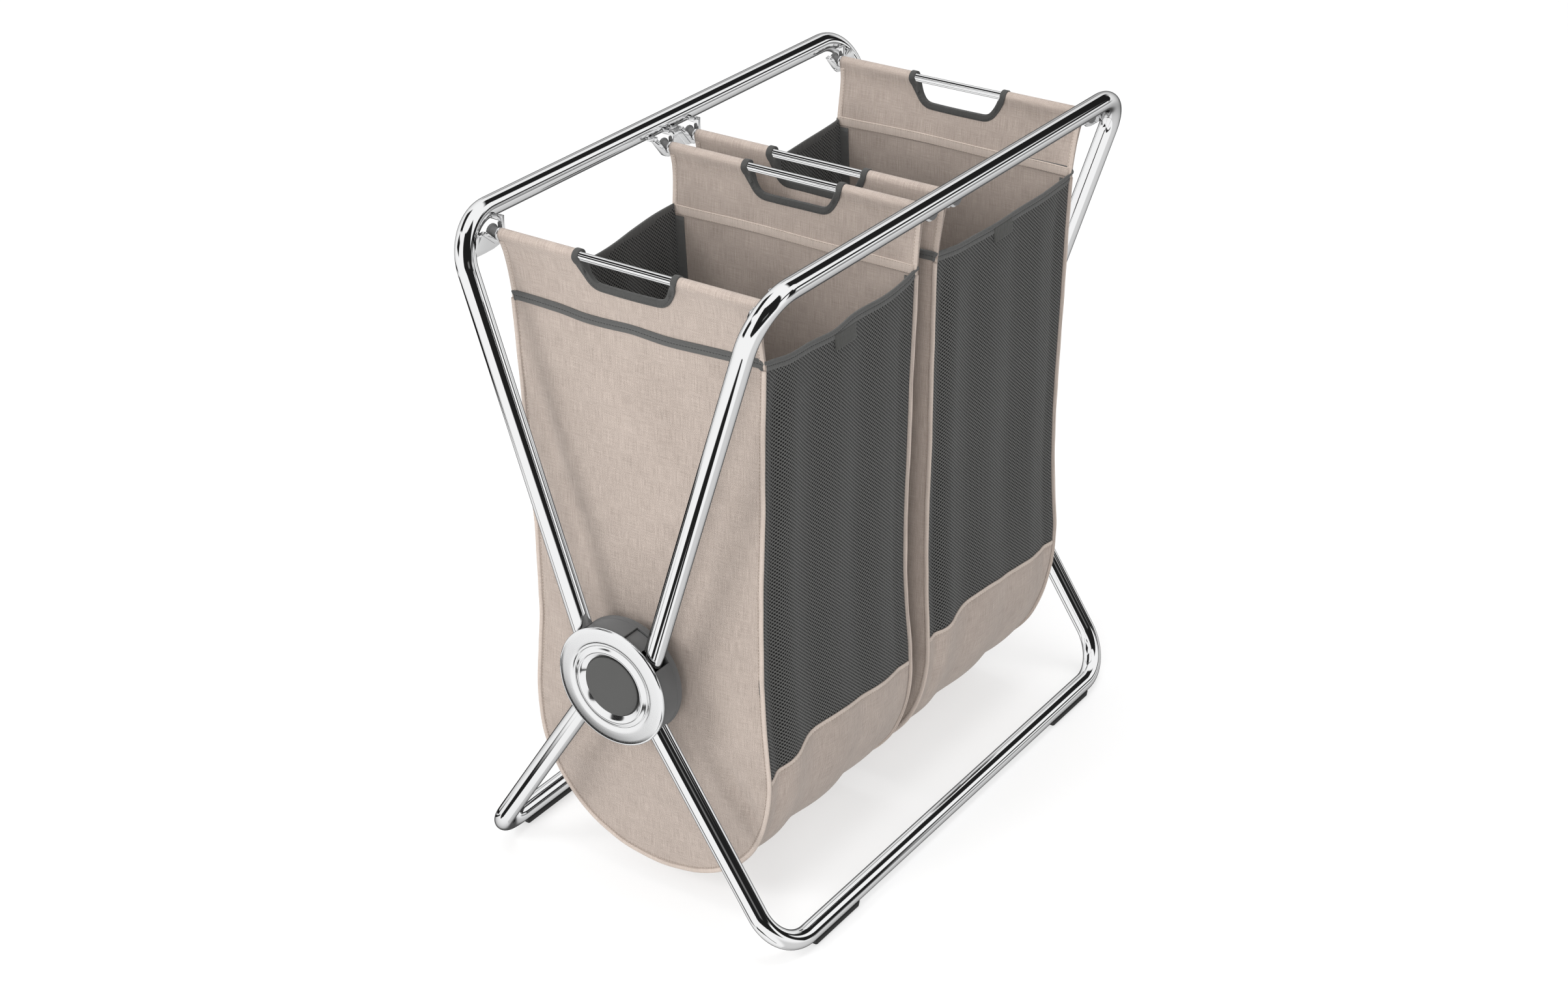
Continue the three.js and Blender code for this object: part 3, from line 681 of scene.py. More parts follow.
circle = lambda r, n: [(r * math.cos(2 * math.pi * i / n), r * math.sin(2 * math.pi * i / n)) for i in range(n)]
for side, upper, name, body in (
    (1, True, "upper_loop_left", "frame"), (-1, True, "upper_loop_right", "swing_frame"),
    (1, False, "lower_loop_left", "swing_frame"), (-1, False, "lower_loop_right", "frame"),
):
    line = loop_line(side, upper)
    v, f, uv = sweep(line, loop_normal(side, upper), circle(TUBE_R, 56))
    put(make("tube_" + name, v, f, CHROME, uv, sharp=50), body, name)


# ------------------------------------------------------------------ solids by booleans
def solid(name, v, f):
    me = bpy.data.meshes.new(name)
    me.from_pydata([tuple(x) for x in np.asarray(v, float)], [], [tuple(int(i) for i in q) for q in f])
    bm = bmesh.new()
    bm.from_mesh(me)
    bmesh.ops.recalc_face_normals(bm, faces=bm.faces)
    bm.to_mesh(me)
    bm.free()
    o = bpy.data.objects.new(name, me)
    scene.collection.objects.link(o)
    return o


def prism(pts, axis, a, b):
    """A polygon pushed along an axis: for y the points are (x, z), for x they are (y, z)."""
    n = len(pts)
    if axis == "y":
        v = [(x, a, z) for x, z in pts] + [(x, b, z) for x, z in pts]
    else:
        v = [(a, y, z) for y, z in pts] + [(b, y, z) for y, z in pts]
    f = [tuple(range(n)), tuple(range(2 * n - 1, n - 1, -1))]
    f += [(i, i + n, (i + 1) % n + n, (i + 1) % n) for i in range(n)]
    return v, f


def combine(base, ops, bevel=0.0, segments=3, angle=35.0):
    """Applies booleans (object, op) to base, then a bevel, and gives (verts, faces)."""
    for other, op in ops:
        m = base.modifiers.new("b", "BOOLEAN")
        m.object, m.operation, m.solver = other, op, "EXACT"
    if bevel:
        m = base.modifiers.new("bevel", "BEVEL")
        m.width, m.segments, m.limit_method, m.angle_limit = bevel, segments, "ANGLE", math.radians(angle)
        m.harden_normals = False
        m.use_clamp_overlap = True
    dg = bpy.context.evaluated_depsgraph_get()
    dg.update()
    me = bpy.data.meshes.new_from_object(base.evaluated_get(dg))
    v = np.array([tuple(x.co) for x in me.vertices])
    f = [tuple(p.vertices) for p in me.polygons]
    bpy.data.meshes.remove(me)
    for o in [base] + [x for x, _ in ops]:
        bpy.data.objects.remove(o)
    return v, f


# ------------------------------------------------------------------ hubs
def cyl_between(a, b, r, n=64):
    a, b = np.array(a, float), np.array(b, float)
    d = unit(b - a)
    e = unit(np.cross(d, [1, 0, 0] if abs(d[0]) < 0.9 else [0, 1, 0]))
    g = np.cross(d, e)
    v = []
    for c in (a, b):
        for i in range(n):
            w = 2 * math.pi * i / n
            v.append(c + r * (math.cos(w) * e + math.sin(w) * g))
    f = [(i, (i + 1) % n, (i + 1) % n + n, i + n) for i in range(n)]
    return v, f + [tuple(range(n - 1, -1, -1)), tuple(range(n, 2 * n))]


def hub_housing():
    prof = [(12.5, 13.6), (64.6, 13.6), (65.5, 13.2), (66, 12.4), (66, -10.6), (65.7, -11.0), (65.7, -11.6), (66, -12.0),
            (66, -18.2), (65.6, -19), (63.6, -19), (63.4, -18.6), (63.4, 11.3), (12.5, 11.3)]
    v, f = lathe(prof, "x", 144, closed=True)
    base = solid("h", v, f)
    ops = []
    for side, upper in ((1, True), (-1, False)):
        z = 20.0 if upper else -22.0
        y = leg_y(side, upper, z)
        dy, dz = leg_dir(side, upper)
        v, f = cyl_between((0, y, z), (0, y + 90 * dy, z + 90 * dz), TUBE_R + 0.5)
        ops.append((solid("c", v, f), "DIFFERENCE"))
    for a0, a1 in ((104.5, 148.0), (-73.5, -31.0)):
        pts = [(80 * math.cos(math.radians(a)), 80 * math.sin(math.radians(a))) for a in np.linspace(a0, a1, 24)]
        pts += [(50 * math.cos(math.radians(a)), 50 * math.sin(math.radians(a))) for a in np.linspace(a1, a0, 18)]
        v, f = prism(pts, "x", -11.7, 11.3)
        ops.append((solid("c", v, f), "DIFFERENCE"))
    return combine(base, ops)


HOUSING = hub_housing()
DISC_PROFILE = [
    (34.0, 13.9), (34.0, 14.2), (34.25, 14.4), (36.2, 15.75), (38.2, 17.15), (39.0, 17.6), (39.9, 17.9), (41.0, 18.05),
    (42.2, 17.95), (43.3, 17.6), (44.4, 17.05), (45.4, 16.47), (46.3, 16.08), (47.2, 15.93), (48.1, 16.02), (49.2, 16.36), (50.3, 16.7),
    (51.2, 16.87), (52.2, 16.92), (54, 16.92), (58, 16.88), (62, 16.82), (65.4, 16.76), (66.5, 16.62), (67.2, 16.3), (67.7, 15.8), (68, 15.1),
    (68.05, 14.2), (67.9, 13.5), (67.5, 13.2), (66.9, 13.4), (66.3, 13.85), (36.0, 13.9),
]
CAP_PROFILE = [(0, 13.9), (33.3, 13.9), (33.6, 14.2), (33.6, 14.9), (33.4, 15.35), (32.9, 15.6), (28, 15.85), (22, 16.0), (12, 16.15), (0, 16.2)]
PLATE_PROFILE = [(0, -19), (20, -19), (20.6, -18.4), (24, -18.4), (24.6, -19), (56, -19), (56.6, -18.5), (58, -18.5), (58.6, -19),
                 (62.5, -19), (63.1, -18.5), (63.1, -17), (0, -17)]
for end, sx in (("near", -1), ("far", 1)):
    def place(v, sx=sx):
        v = np.array(v, float)
        v[:, 0] = v[:, 0] * sx + sx * LEG_X
        v[:, 2] += HUB_Z
        return v
    flip = (lambda f: [tuple(reversed(q)) for q in f]) if sx < 0 else (lambda f: f)
    put(make(f"hub_drum_{end}", place(HOUSING[0]), flip(HOUSING[1]), DRUM, sharp=35), "frame", f"hub_{end}_housing")
    v, f = lathe(DISC_PROFILE, "x", 160, closed=True)
    put(make(f"hub_ring_{end}", place(v), flip(f), SATIN, sharp=42), "frame", f"hub_{end}_trim_disc")
    v, f = lathe(CAP_PROFILE, "x", 128)
    put(make(f"hub_cap_{end}", place(v), flip(f), CAPMAT, sharp=40), "frame", f"hub_{end}_centre_cap")
    v, f = lathe(PLATE_PROFILE, "x", 96)
    put(make(f"hub_back_{end}", place(v), flip(f), DRUM, sharp=35), "frame", f"hub_{end}_back_plate")

# dark skins on the swinging yokes' slot covers, which slide under the drum's wall as the frame folds
for end, sx in (("near", -1), ("far", 1)):
    parts = []
    for a0, a1 in ((104.9, 125.4), (-73.2, -54.2)):
        ang = np.radians(np.linspace(a0, a1, 25))
        v = []
        for a in ang:
            for r, x in ((63.1, -11.3), (63.1, 10.9), (62.65, 10.9), (62.65, -11.3)):
                v.append((sx * LEG_X + sx * x, r * math.cos(a), HUB_Z + r * math.sin(a)))
        f = []
        for i in range(24):
            f += [(i * 4 + j, i * 4 + (j + 1) % 4, i * 4 + 4 + (j + 1) % 4, i * 4 + 4 + j) for j in range(4)]
        f += [(3, 2, 1, 0), (96, 97, 98, 99)]
        v = np.array(v)
        parts.append((v, outward(v - v.mean(0), f)))
    v, f, uv = joined(parts)
    put(make(f"hub_slot_skin_{end}", v, f, DRUM, sharp=40), "swing_frame")

# ------------------------------------------------------------------ hooks
ROD_Z = 738.5
ROD_OUT, ROD_IN = 307.0, 23.0
HOOK_Y0, HOOK_Y1 = 163.0, 169.0
arc = lambda r, a0, a1, n: [(r * math.cos(math.radians(a0 + (a1 - a0) * i / n)), r * math.sin(math.radians(a0 + (a1 - a0) * i / n))) for i in range(n + 1)]


def cup(angle, length, wall=4.4, r=6.3, top=16.0):
    """Outline of a J: a strap on the right, the seat of the rod end's neck, and a ramp up to the left."""
    d = (-math.cos(math.radians(angle)), math.sin(math.radians(angle)))
    n = (-d[1], d[0])
    a_end = -180 + (90 - angle)
    inner = [(r, top)] + arc(r, 0, a_end, 22) + [(n[0] * r + d[0] * length, n[1] * r + d[1] * length)]
    q = r + wall
    outer = [(n[0] * (q + 0.4) + d[0] * (length + 1.5), n[1] * (q + 0.4) + d[1] * (length + 1.5))] + arc(q, a_end, 0, 22) + [(q, top)]
    return inner + outer


def box_solid(x0, x1, y0, y1, z0, z1):
    return solid("c", *prism([(x0, z0), (x1, z0), (x1, z1), (x0, z1)], "y", y0, y1))


def moved(pts, x):
    return [(a + x, b) for a, b in pts]


def corner_hook(far=False):
    base = solid("h", *prism(cup(50, 19.0) if far else cup(42, 18.0), "y", HOOK_Y0, HOOK_Y1))
    gusset = [(-4.6, -6.4), (-20.5, 7.6), (-27.4, 7.2), (-30.5, 3), (-32.6, -3), (-34, -9), (-34.4, -15), (-20, -15.2), (-6, -14.8),
              (2.5, -13.2), (7.6, -9.6), (8.0, -5.0), (2.0, -8.4)]
    if far:
        gusset = [(-x, z) for x, z in reversed(gusset)]
    ops = [(solid("c", *prism(gusset, "y", HOOK_Y0 + 1.7, HOOK_Y0 + 4.2)), "UNION"),
           (box_solid(6.9, 10.3, HOOK_Y1 - 2.5, 183, 10.2, 15.4), "UNION")]
    return combine(base, ops, 1.0, 3)


def middle_hook():
    base = solid("h", *prism(moved(cup(51, 25.0), -ROD_IN), "y", HOOK_Y0, HOOK_Y1))
    web = [(-13.5, 16.0), (-3.0, 16.0), (1.5, 14.8), (6.5, 7.6), (14.5, -3.2), (19, -8.6), (14, -9.4), (6, -6.6), (-3, -6.0), (-10, -8.2), (-14.4, -8.4), (-13.2, -2.0)]
    ops = [(solid("c", *prism(moved(cup(51, 25.0), ROD_IN), "y", HOOK_Y0, HOOK_Y1)), "UNION"),
           (solid("c", *prism(web, "y", HOOK_Y0 + 1.2, HOOK_Y0 + 4.2)), "UNION")]
    for a, b in ((-43.5, -38.5), (-15.8, -12.6), (-3.0, 2.5), (30.0, 33.2)):
        ops.append((box_solid(a, b, HOOK_Y1 - 2.5, 183, 10.2, 15.4), "UNION"))
    return combine(base, ops, 1.0, 3)


CORNER_HOOK, FAR_HOOK, MIDDLE_HOOK = corner_hook(), corner_hook(True), middle_hook()
for side_name, side, body in (("left", 1, "frame"), ("right", -1, "swing_frame")):
    for end, x, shape in (("near", -ROD_OUT, CORNER_HOOK), ("far", ROD_OUT, FAR_HOOK), ("middle", 0.0, MIDDLE_HOOK)):
        v, f = shape
        v = v.copy() * np.array([1.0, side, 1.0]) + np.array([x, 0, ROD_Z])
        if side < 0:
            f = [tuple(reversed(q)) for q in f]
        put(make(f"cast_hook_{end}_{side_name}", v, f, CAST, sharp=28), body, f"hook_{end}_{side_name}")

# ------------------------------------------------------------------ feet
for side_name, side, body in (("left", 1, "swing_frame"), ("right", -1, "frame")):
    for end, sx in (("near", -1), ("far", 1)):
        y0 = side * BOT_Y
        sec = [(-8.5, 1.3), (-7.9, 0.4), (-6.8, 0.0), (-2.6, 0.0), (-2.0, 0.9), (2.0, 0.9), (2.6, 0.0), (6.8, 0.0), (7.9, 0.4), (8.5, 1.3),
               (8.6, 5.8), (8.5, 6.6), (7.9, 7.2)]
        ring = [(10.9 * math.sin(math.radians(a)), 15 - 10.9 * math.cos(math.radians(a))) for a in np.linspace(46, -46, 11)]
        sec = sec + ring + [(-7.9, 7.2), (-8.5, 6.6), (-8.6, 5.8)]
        xs = np.concatenate([[210, 211.2], np.arange(214, 293, 1.25), [294.8, 296]])
        v, k = [], len(sec)
        for x in xs:
            ridge = 0.22 * math.cos(2 * math.pi * (x - 214) / 5.0) if 214 <= x <= 293 else 0.0
            edge = 0.9 if x in (210, 296) else 1.0
            for (a, b) in sec:
                out = a * edge + (math.copysign(ridge, a) if abs(a) > 8 else 0)
                shift = 2.6 * (7 - min(b, 7)) / 7 * (1 if x < 253 else -1) if (x < 212 or x > 294) else 0
                v.append((sx * (x + shift), y0 + out, b))
        f = []
        for i in range(len(xs) - 1):
            for j in range(k):
                j2 = (j + 1) % k
                f.append((i * k + j, i * k + j2, (i + 1) * k + j2, (i + 1) * k + j))
        f += [tuple(range(k - 1, -1, -1)), tuple((len(xs) - 1) * k + j for j in range(k))]
        v = np.array(v)
        put(make(f"foot_strip_{end}_{side_name}", v, outward(v - v.mean(0), f), FOOT, sharp=40), body, f"foot_{end}_{side_name}")

# ------------------------------------------------------------------ bags
HALF = table([(28.8, 0), (30.8, 26), (35.6, 52), (47, 80), (61, 101), (74.6, 115), (92, 129), (110, 138.5), (137, 148.7),
              (160, 153.7), (190, 155.8), (225, 153.4), (260, 150.4), (300, 148.1), (350, 147.2), (400, 147.4), (450, 149.5),
              (500, 151.6), (550, 153.1), (600, 154.9), (650, 156.8), (672, 157.5)])
U_HALF = [(0, 28.8), (26, 30.8), (52, 35.6), (80, 47), (101, 61), (115, 74.6), (129, 92), (138.5, 110), (148.7, 137), (153.7, 160),
          (155.8, 190), (153.4, 225), (150.4, 260), (148.1, 300), (147.2, 350), (147.4, 400), (149.5, 450), (151.6, 500),
          (153.1, 550), (154.9, 600), (156.8, 650), (157.6, 674)]
# from the left (+Y) band corner down, round and up to the right one
U_LINE = spline([(y, z) for y, z in reversed(U_HALF)] + [(-y, z) for y, z in U_HALF[1:]], 421, relax=30)
U_TAN = tangents(U_LINE)
U_OUT = np.stack([-U_TAN[:, 1], U_TAN[:, 0]], 1)          # outward in the plane of the panel
if U_OUT[0, 0] < 0:
    U_OUT = -U_OUT
U_ARC = np.concatenate([[0], np.cumsum(np.linalg.norm(np.diff(U_LINE, axis=0), axis=1))])
U_LEN = U_ARC[-1]


def gauss_line(y, z, a, b, width, depth, taper=0.25):
    """A soft ridge or valley along the segment a-b, fading at its ends."""
    a, b = np.array(a, float), np.array(b, float)
    d = b - a
    ll = d @ d
    t = ((y - a[0]) * d[0] + (z - a[1]) * d[1]) / ll
    tc = np.clip(t, 0, 1)
    dist = np.hypot(y - (a[0] + tc * d[0]), z - (a[1] + tc * d[1]))
    fade = np.clip(np.minimum(tc, 1 - tc) / taper, 0, 1)
    fade = fade * fade * (3 - 2 * fade)
    return depth * np.exp(-(dist / width) ** 2) * (0.15 + 0.85 * fade)


class Panel:
    """An end panel. edge gives x at the panel's side edges by height, bow how far its middle stands out."""

    def __init__(self, bag, which, o, rod, edge, bow, folds):
        self.bag, self.which, self.o, self.rod = bag, which, o, rod
        self.edge, self.bow, self.folds = table(edge), table(bow), folds
        self.name = f"{bag}_{which}"

    def x(self, y, z):
        y, z = np.asarray(y, float), np.asarray(z, float)
        w = np.clip(np.abs(y) / HALF(np.clip(z, 60, 672)), 0, 1)
        # the lower rim is stiff with seams, so the bow fades towards it
        low = np.clip((z - 40) / 90, 0, 1)
        out = self.bow(z) * (1 - w**2.2) * (0.25 + 0.75 * low)
        for a, b, width, depth in self.folds:
            out = out + (1.05 if a[0] > 0 else 1.6) * gauss_line(y, z, a, b, width, depth)
        out = out + 0.35 * np.sin(y / 33.0 + z / 71.0 + self.rod) * np.sin(z / 47.0 + y / 90.0)
        return self.edge(z) + self.o * out


NEAR_OUT = Panel("near", "outer", -1, -ROD_OUT,
    [(672, -299.1), (650, -298.8), (600, -298.6), (550, -298.1), (500, -297.5), (450, -297.5), (400, -297.4), (350, -298.4),
     (300, -299.1), (260, -300.2), (225, -301.3), (190, -300.9), (160, -301.3), (137, -301.4), (110, -299.4), (90, -298.4), (28, -298.5)],
    [(28, 1.5), (100, 4), (200, 6.5), (300, 7.5), (450, 7.5), (600, 5), (672, 3.5)],
    [((131, 575), (102, 476), 11, -1.9), ((102, 490), (70, 405), 12, -2.0), ((112, 600), (84, 470), 14, 1.5),
     ((-98, 520), (-76, 405), 9, -1.5), ((-112, 520), (-92, 410), 11, 1.2), ((-95, 205), (-146, 118), 9, -1.9),
     ((-80, 190), (-128, 108), 10, 1.3), ((-60, 640), (-45, 520), 16, -1.2), ((40, 660), (55, 560), 18, 1.0),
     ((-140, 330), (-110, 240), 12, 1.2), ((140, 330), (118, 220), 13, -1.4), ((120, 200), (90, 110), 14, 1.2)])
NEAR_IN = Panel("near", "inner", 1, -ROD_IN,
    [(672, -28.5), (660, -28.7), (612, -28.8), (535, -29.7), (424, -28.0), (327, -29.3), (268, -28.2), (226, -27.8), (200, -29.2), (150, -30), (28, -30)],
    [(28, 1), (200, 3), (400, 3), (600, 3), (672, 2)],
    [((-60, 600), (-90, 470), 15, -1.6), ((60, 620), (90, 480), 14, -1.4), ((0, 500), (20, 350), 20, 1.2)])
FAR_IN = Panel("far", "inner", -1, ROD_IN,
    [(672, 8.5), (656, 8.5), (598, 10), (518, 13), (403, 17), (306, 15), (248, 12), (183, 8), (149, 6), (28, 8)],
    [(28, 1), (200, 3), (400, 3), (600, 3), (672, 2)],
    [((-70, 610), (-50, 470), 15, -1.4), ((70, 600), (45, 460), 14, 1.3)])
FAR_OUT = Panel("far", "outer", 1, ROD_OUT,
    [(672, 292.6), (622, 292.2), (550, 292.8), (468, 293.0), (382, 294.2), (297, 294), (227, 294.6), (203, 291), (175, 285), (152, 280), (110, 277), (28, 277)],
    [(28, 2), (150, 6), (200, 7), (300, 7.5), (450, 7), (600, 5), (672, 3.5)],
    [((-70, 560), (-100, 450), 14, -1.8), ((60, 540), (85, 430), 14, -1.6), ((-120, 300), (-90, 200), 13, 1.3)])
PANELS = [NEAR_OUT, NEAR_IN, FAR_IN, FAR_OUT]
CLOTH_T = 0.9
BODY_TOP = 674.0


def interp_u(arc_at, shift=0.0):
    """Points of the U outline at these arc lengths, moved outward by shift, and the outward normals there."""
    y = np.interp(arc_at, U_ARC, U_LINE[:, 0])
    z = np.interp(arc_at, U_ARC, U_LINE[:, 1])
    ny = np.interp(arc_at, U_ARC, U_OUT[:, 0])
    nz = np.interp(arc_at, U_ARC, U_OUT[:, 1])
    return y + ny * shift, z + nz * shift, ny, nz


def coons(nu, nv):
    """Grid of (y, z) that fills the U outline up to the band."""
    k = int(np.argmin(np.hypot(U_LINE[:210, 0] - 133, U_LINE[:210, 1] - 98)))
    a_side, a_low = U_ARC[k], U_LEN - 2 * U_ARC[k]
    s, t = np.linspace(0, 1, nu), np.linspace(0, 1, nv)
    left = np.stack(interp_u(a_side * (1 - t))[:2], 1)                  # t = 0 at the lower corner
    rt = np.stack(interp_u(U_LEN - a_side * (1 - t))[:2], 1)
    low = np.stack(interp_u(a_side + a_low * s)[:2], 1)
    top = left[-1] * (1 - s)[:, None] + rt[-1] * s[:, None]
    S, T = s[:, None, None], t[None, :, None]
    g = (1 - T) * low[:, None] + T * top[:, None] + (1 - S) * left[None] + S * rt[None]
    g -= (1 - S) * (1 - T) * low[0] + S * (1 - T) * low[-1] + (1 - S) * T * top[0] + S * T * top[-1]
    return g


BODY_GRID = coons(73, 131)


def orient(v, f, want):
    """Flips quads so that the mean normal points along want."""
    n = vertex_normals(v, np.asarray(f)).mean(0)
    return np.asarray(f)[:, ::-1] if n @ np.asarray(want, float) < 0 else np.asarray(f)


def panel_body(p):
    nu, nv = BODY_GRID.shape[:2]
    y, z = BODY_GRID[..., 0].ravel(), BODY_GRID[..., 1].ravel()
    v = np.stack([p.x(y, z), y, z], 1)
    f = orient(v, grid_faces(nu, nv), (p.o, 0, 0))
    v2, f2 = shell(v, f, CLOTH_T)
    uv = np.stack([y * -p.o, z], 1)
    area = 0.0
    for q in f:
        area += 0.5 * np.linalg.norm(np.cross(v[q[2]] - v[q[0]], v[q[3]] - v[q[1]]))
    o = make(f"{p.name}_panel", v2, f2, CLOTH, np.vstack([uv, uv]))
    return put(o, "bag_" + p.bag), area / 1e6


# flap and rod sleeve: the cloth goes up outside, round the rod and down inside; a grip opening is cut in the middle
SLEEVE_R = 6.3
HALF_SEP = table([(660, 0.75), (668, 0.8), (700, 1.1), (720, 1.9), (731, 4.3), (738.5, SLEEVE_R)])
FLAP_END = table([(660, 157.2), (668, 156.9), (700, 157.2), (722, 158.4), (733, 159.3), (739, 159.7), (746, 159.4)])
GRIP = table([(0, 711.6), (30, 711.3), (38, 712.0), (44, 714.6), (48, 718.5), (52, 724), (56, 731), (59.5, 738.5)])
FLAP_LOW = 667.0


def flap_y(y, z):
    k = np.clip((np.abs(y) - 70) / 90, 0, 1)
    return y + np.sign(y) * (FLAP_END(z) - 160.0) * k * k * (3 - 2 * k)


def flap_x(p, y, z, side):
    """x of the flap's outer (side 1) or inner (side -1) layer."""
    t = np.clip((z - 668.0) / (ROD_Z - 668.0), 0, 1)
    t2 = t * t * (3 - 2 * t) * 0.35 + t * 0.65
    base = p.x(y, np.full_like(z, 668.0)) - p.o * 0.9
    c = base * (1 - t2) + p.rod * t2
    wave = 0.9 * np.sin(y / 27.0 + p.rod) * np.sin(math.pi * t) + 0.5 * np.sin(y / 11.0 + 2 * p.rod) * np.sin(math.pi * t) ** 2
    crease = -0.5 * np.exp(-((z - 729.5) / 3.0) ** 2)
    return c + p.o * (wave + side * (HALF_SEP(z) + crease))


def flap(p):
    ys = np.unique(np.round(np.concatenate([
        np.linspace(-160, -60, 34), np.linspace(-60, -36, 21), np.linspace(-36, 36, 19), np.linspace(36, 60, 21), np.linspace(60, 160, 34)]), 4))
    nu, na, nb = len(ys), 27, 15
    opening = np.abs(ys) < 59.9
    top = np.where(opening, GRIP(np.abs(ys)), ROD_Z)
    r = np.linspace(0, 1, na)
    verts, uvs = [], []
    for side in (1, -1):
        Y = np.repeat(ys[:, None], na, 1)
        Z = FLAP_LOW + (top[:, None] - FLAP_LOW) * r[None]
        X = flap_x(p, Y, Z, side)
        verts.append(np.stack([X, flap_y(Y, Z), Z], -1).reshape(-1, 3))
        uvs.append(np.stack([Y * -p.o, Z if side > 0 else 2 * ROD_Z + 20 - Z], -1).reshape(-1, 2))
    off_c = nu * na
    v, uv = np.vstack(verts), np.vstack(uvs)
    fa = orient(v, grid_faces(nu, na), (p.o, 0, 0))
    fc = orient(v, grid_faces(nu, na, off_c), (-p.o, 0, 0))
    faces = [fa, fc]
    # the round part over the rod, on both sides of the opening
    for cols in (np.where(ys <= -59.9)[0], np.where(ys >= 59.9)[0]):
        k = len(cols)
        inner = []
        base = len(v)
        mid, mid_uv = [], []
        for c in cols:
            for j in range(1, nb - 1):
                a = math.pi * j / (nb - 1)
                z = ROD_Z + (SLEEVE_R + 0.2) * math.sin(a)
                x = flap_x(p, np.array([ys[c]]), np.array([ROD_Z]), 0)[0] + p.o * SLEEVE_R * math.cos(a)
                mid.append((x, float(flap_y(np.array([ys[c]]), np.array([z]))[0]), z))
                mid_uv.append((-p.o * ys[c], ROD_Z + SLEEVE_R * a))
        v, uv = np.vstack([v, mid]), np.vstack([uv, mid_uv])
        idx = np.empty((k, nb), int)
        for n, c in enumerate(cols):
            idx[n, 0] = c * na + na - 1
            idx[n, -1] = off_c + c * na + na - 1
            idx[n, 1:-1] = base + n * (nb - 2) + np.arange(nb - 2)
        q = np.stack([idx[:-1, :-1], idx[1:, :-1], idx[1:, 1:], idx[:-1, 1:]], -1).reshape(-1, 4)
        nrm = np.cross(v[q[:, 2]] - v[q[:, 0]], v[q[:, 3]] - v[q[:, 1]])
        faces.append(q if nrm[:, 2].sum() > 0 else q[:, ::-1])
    f = np.vstack(faces)
    area = sum(0.5 * np.linalg.norm(np.cross(v[q[2]] - v[q[0]], v[q[3]] - v[q[1]])) for q in f)
    v2, f2 = shell(v, f, 0.75)
    o = make(f"{p.name}_flap", v2, f2, CLOTH, np.vstack([uv, uv]))
    put(o, "bag_" + p.bag)

    bits, threads = [], []
    # hem strip along the inner layer's lower edge, with two rows of stitches
    yy = np.linspace(-156.5, 156.5, 90)
    zz = np.full_like(yy, 672.6) + 0.5 * np.sin(yy / 29.0)
    xx = flap_x(p, yy, zz, -1) - p.o * 0.55
    path = np.stack([xx, flap_y(yy, zz), zz], 1)
    bits.append(sweep(path, (-p.o, 0, 0), rounded(1.5, 11.0, 0.7)))
    for dz in (-4.4, 4.4):
        threads.append(stitches(path + np.array([-p.o * 0.72, 0, dz]), (-p.o, 0, 0), 3.4, 2.3, 0.34))
    # side hems on both layers
    zs = np.linspace(FLAP_LOW + 1, 733, 26)
    for sgn in (1, -1):
        for side in (1, -1):
            ye = sgn * (160 - 3.2)
            yv = np.full_like(zs, ye)
            path = np.stack([flap_x(p, yv, zs, side) + p.o * side * 0.25, flap_y(yv, zs), zs], 1)
            bits.append(sweep(path, (p.o * side, 0, 0), rounded(1.1, 6.0, 0.5)))
            inset = path + np.array([p.o * side * 0.52, -sgn * 1.9, 0])
            threads.append(stitches(inset, (p.o * side, 0, 0), 3.6, 2.4, 0.34))
    # stitched line that closes the sleeve under the rod
    for sgn in (1, -1):
        yv = np.linspace(sgn * 66, sgn * 152, 40)
        zv = np.full_like(yv, 727.5)
        for side in (1, -1):
            path = np.stack([flap_x(p, yv, zv, side) + p.o * side * 0.1, flap_y(yv, zv), zv], 1)
            if side < 0:
                threads.append(stitches(path, (p.o * side, 0, 0), 3.6, 2.4, 0.3, 0.0))
    v, f, uv = joined(bits)
    put(make(f"{p.name}_flap_hems", v, f, WELT, uv), "bag_" + p.bag)
    v, f, _ = joined(threads)
    put(make(f"{p.name}_flap_stitching", v, f, THREAD), "bag_" + p.bag)
    return o, area / 1e6


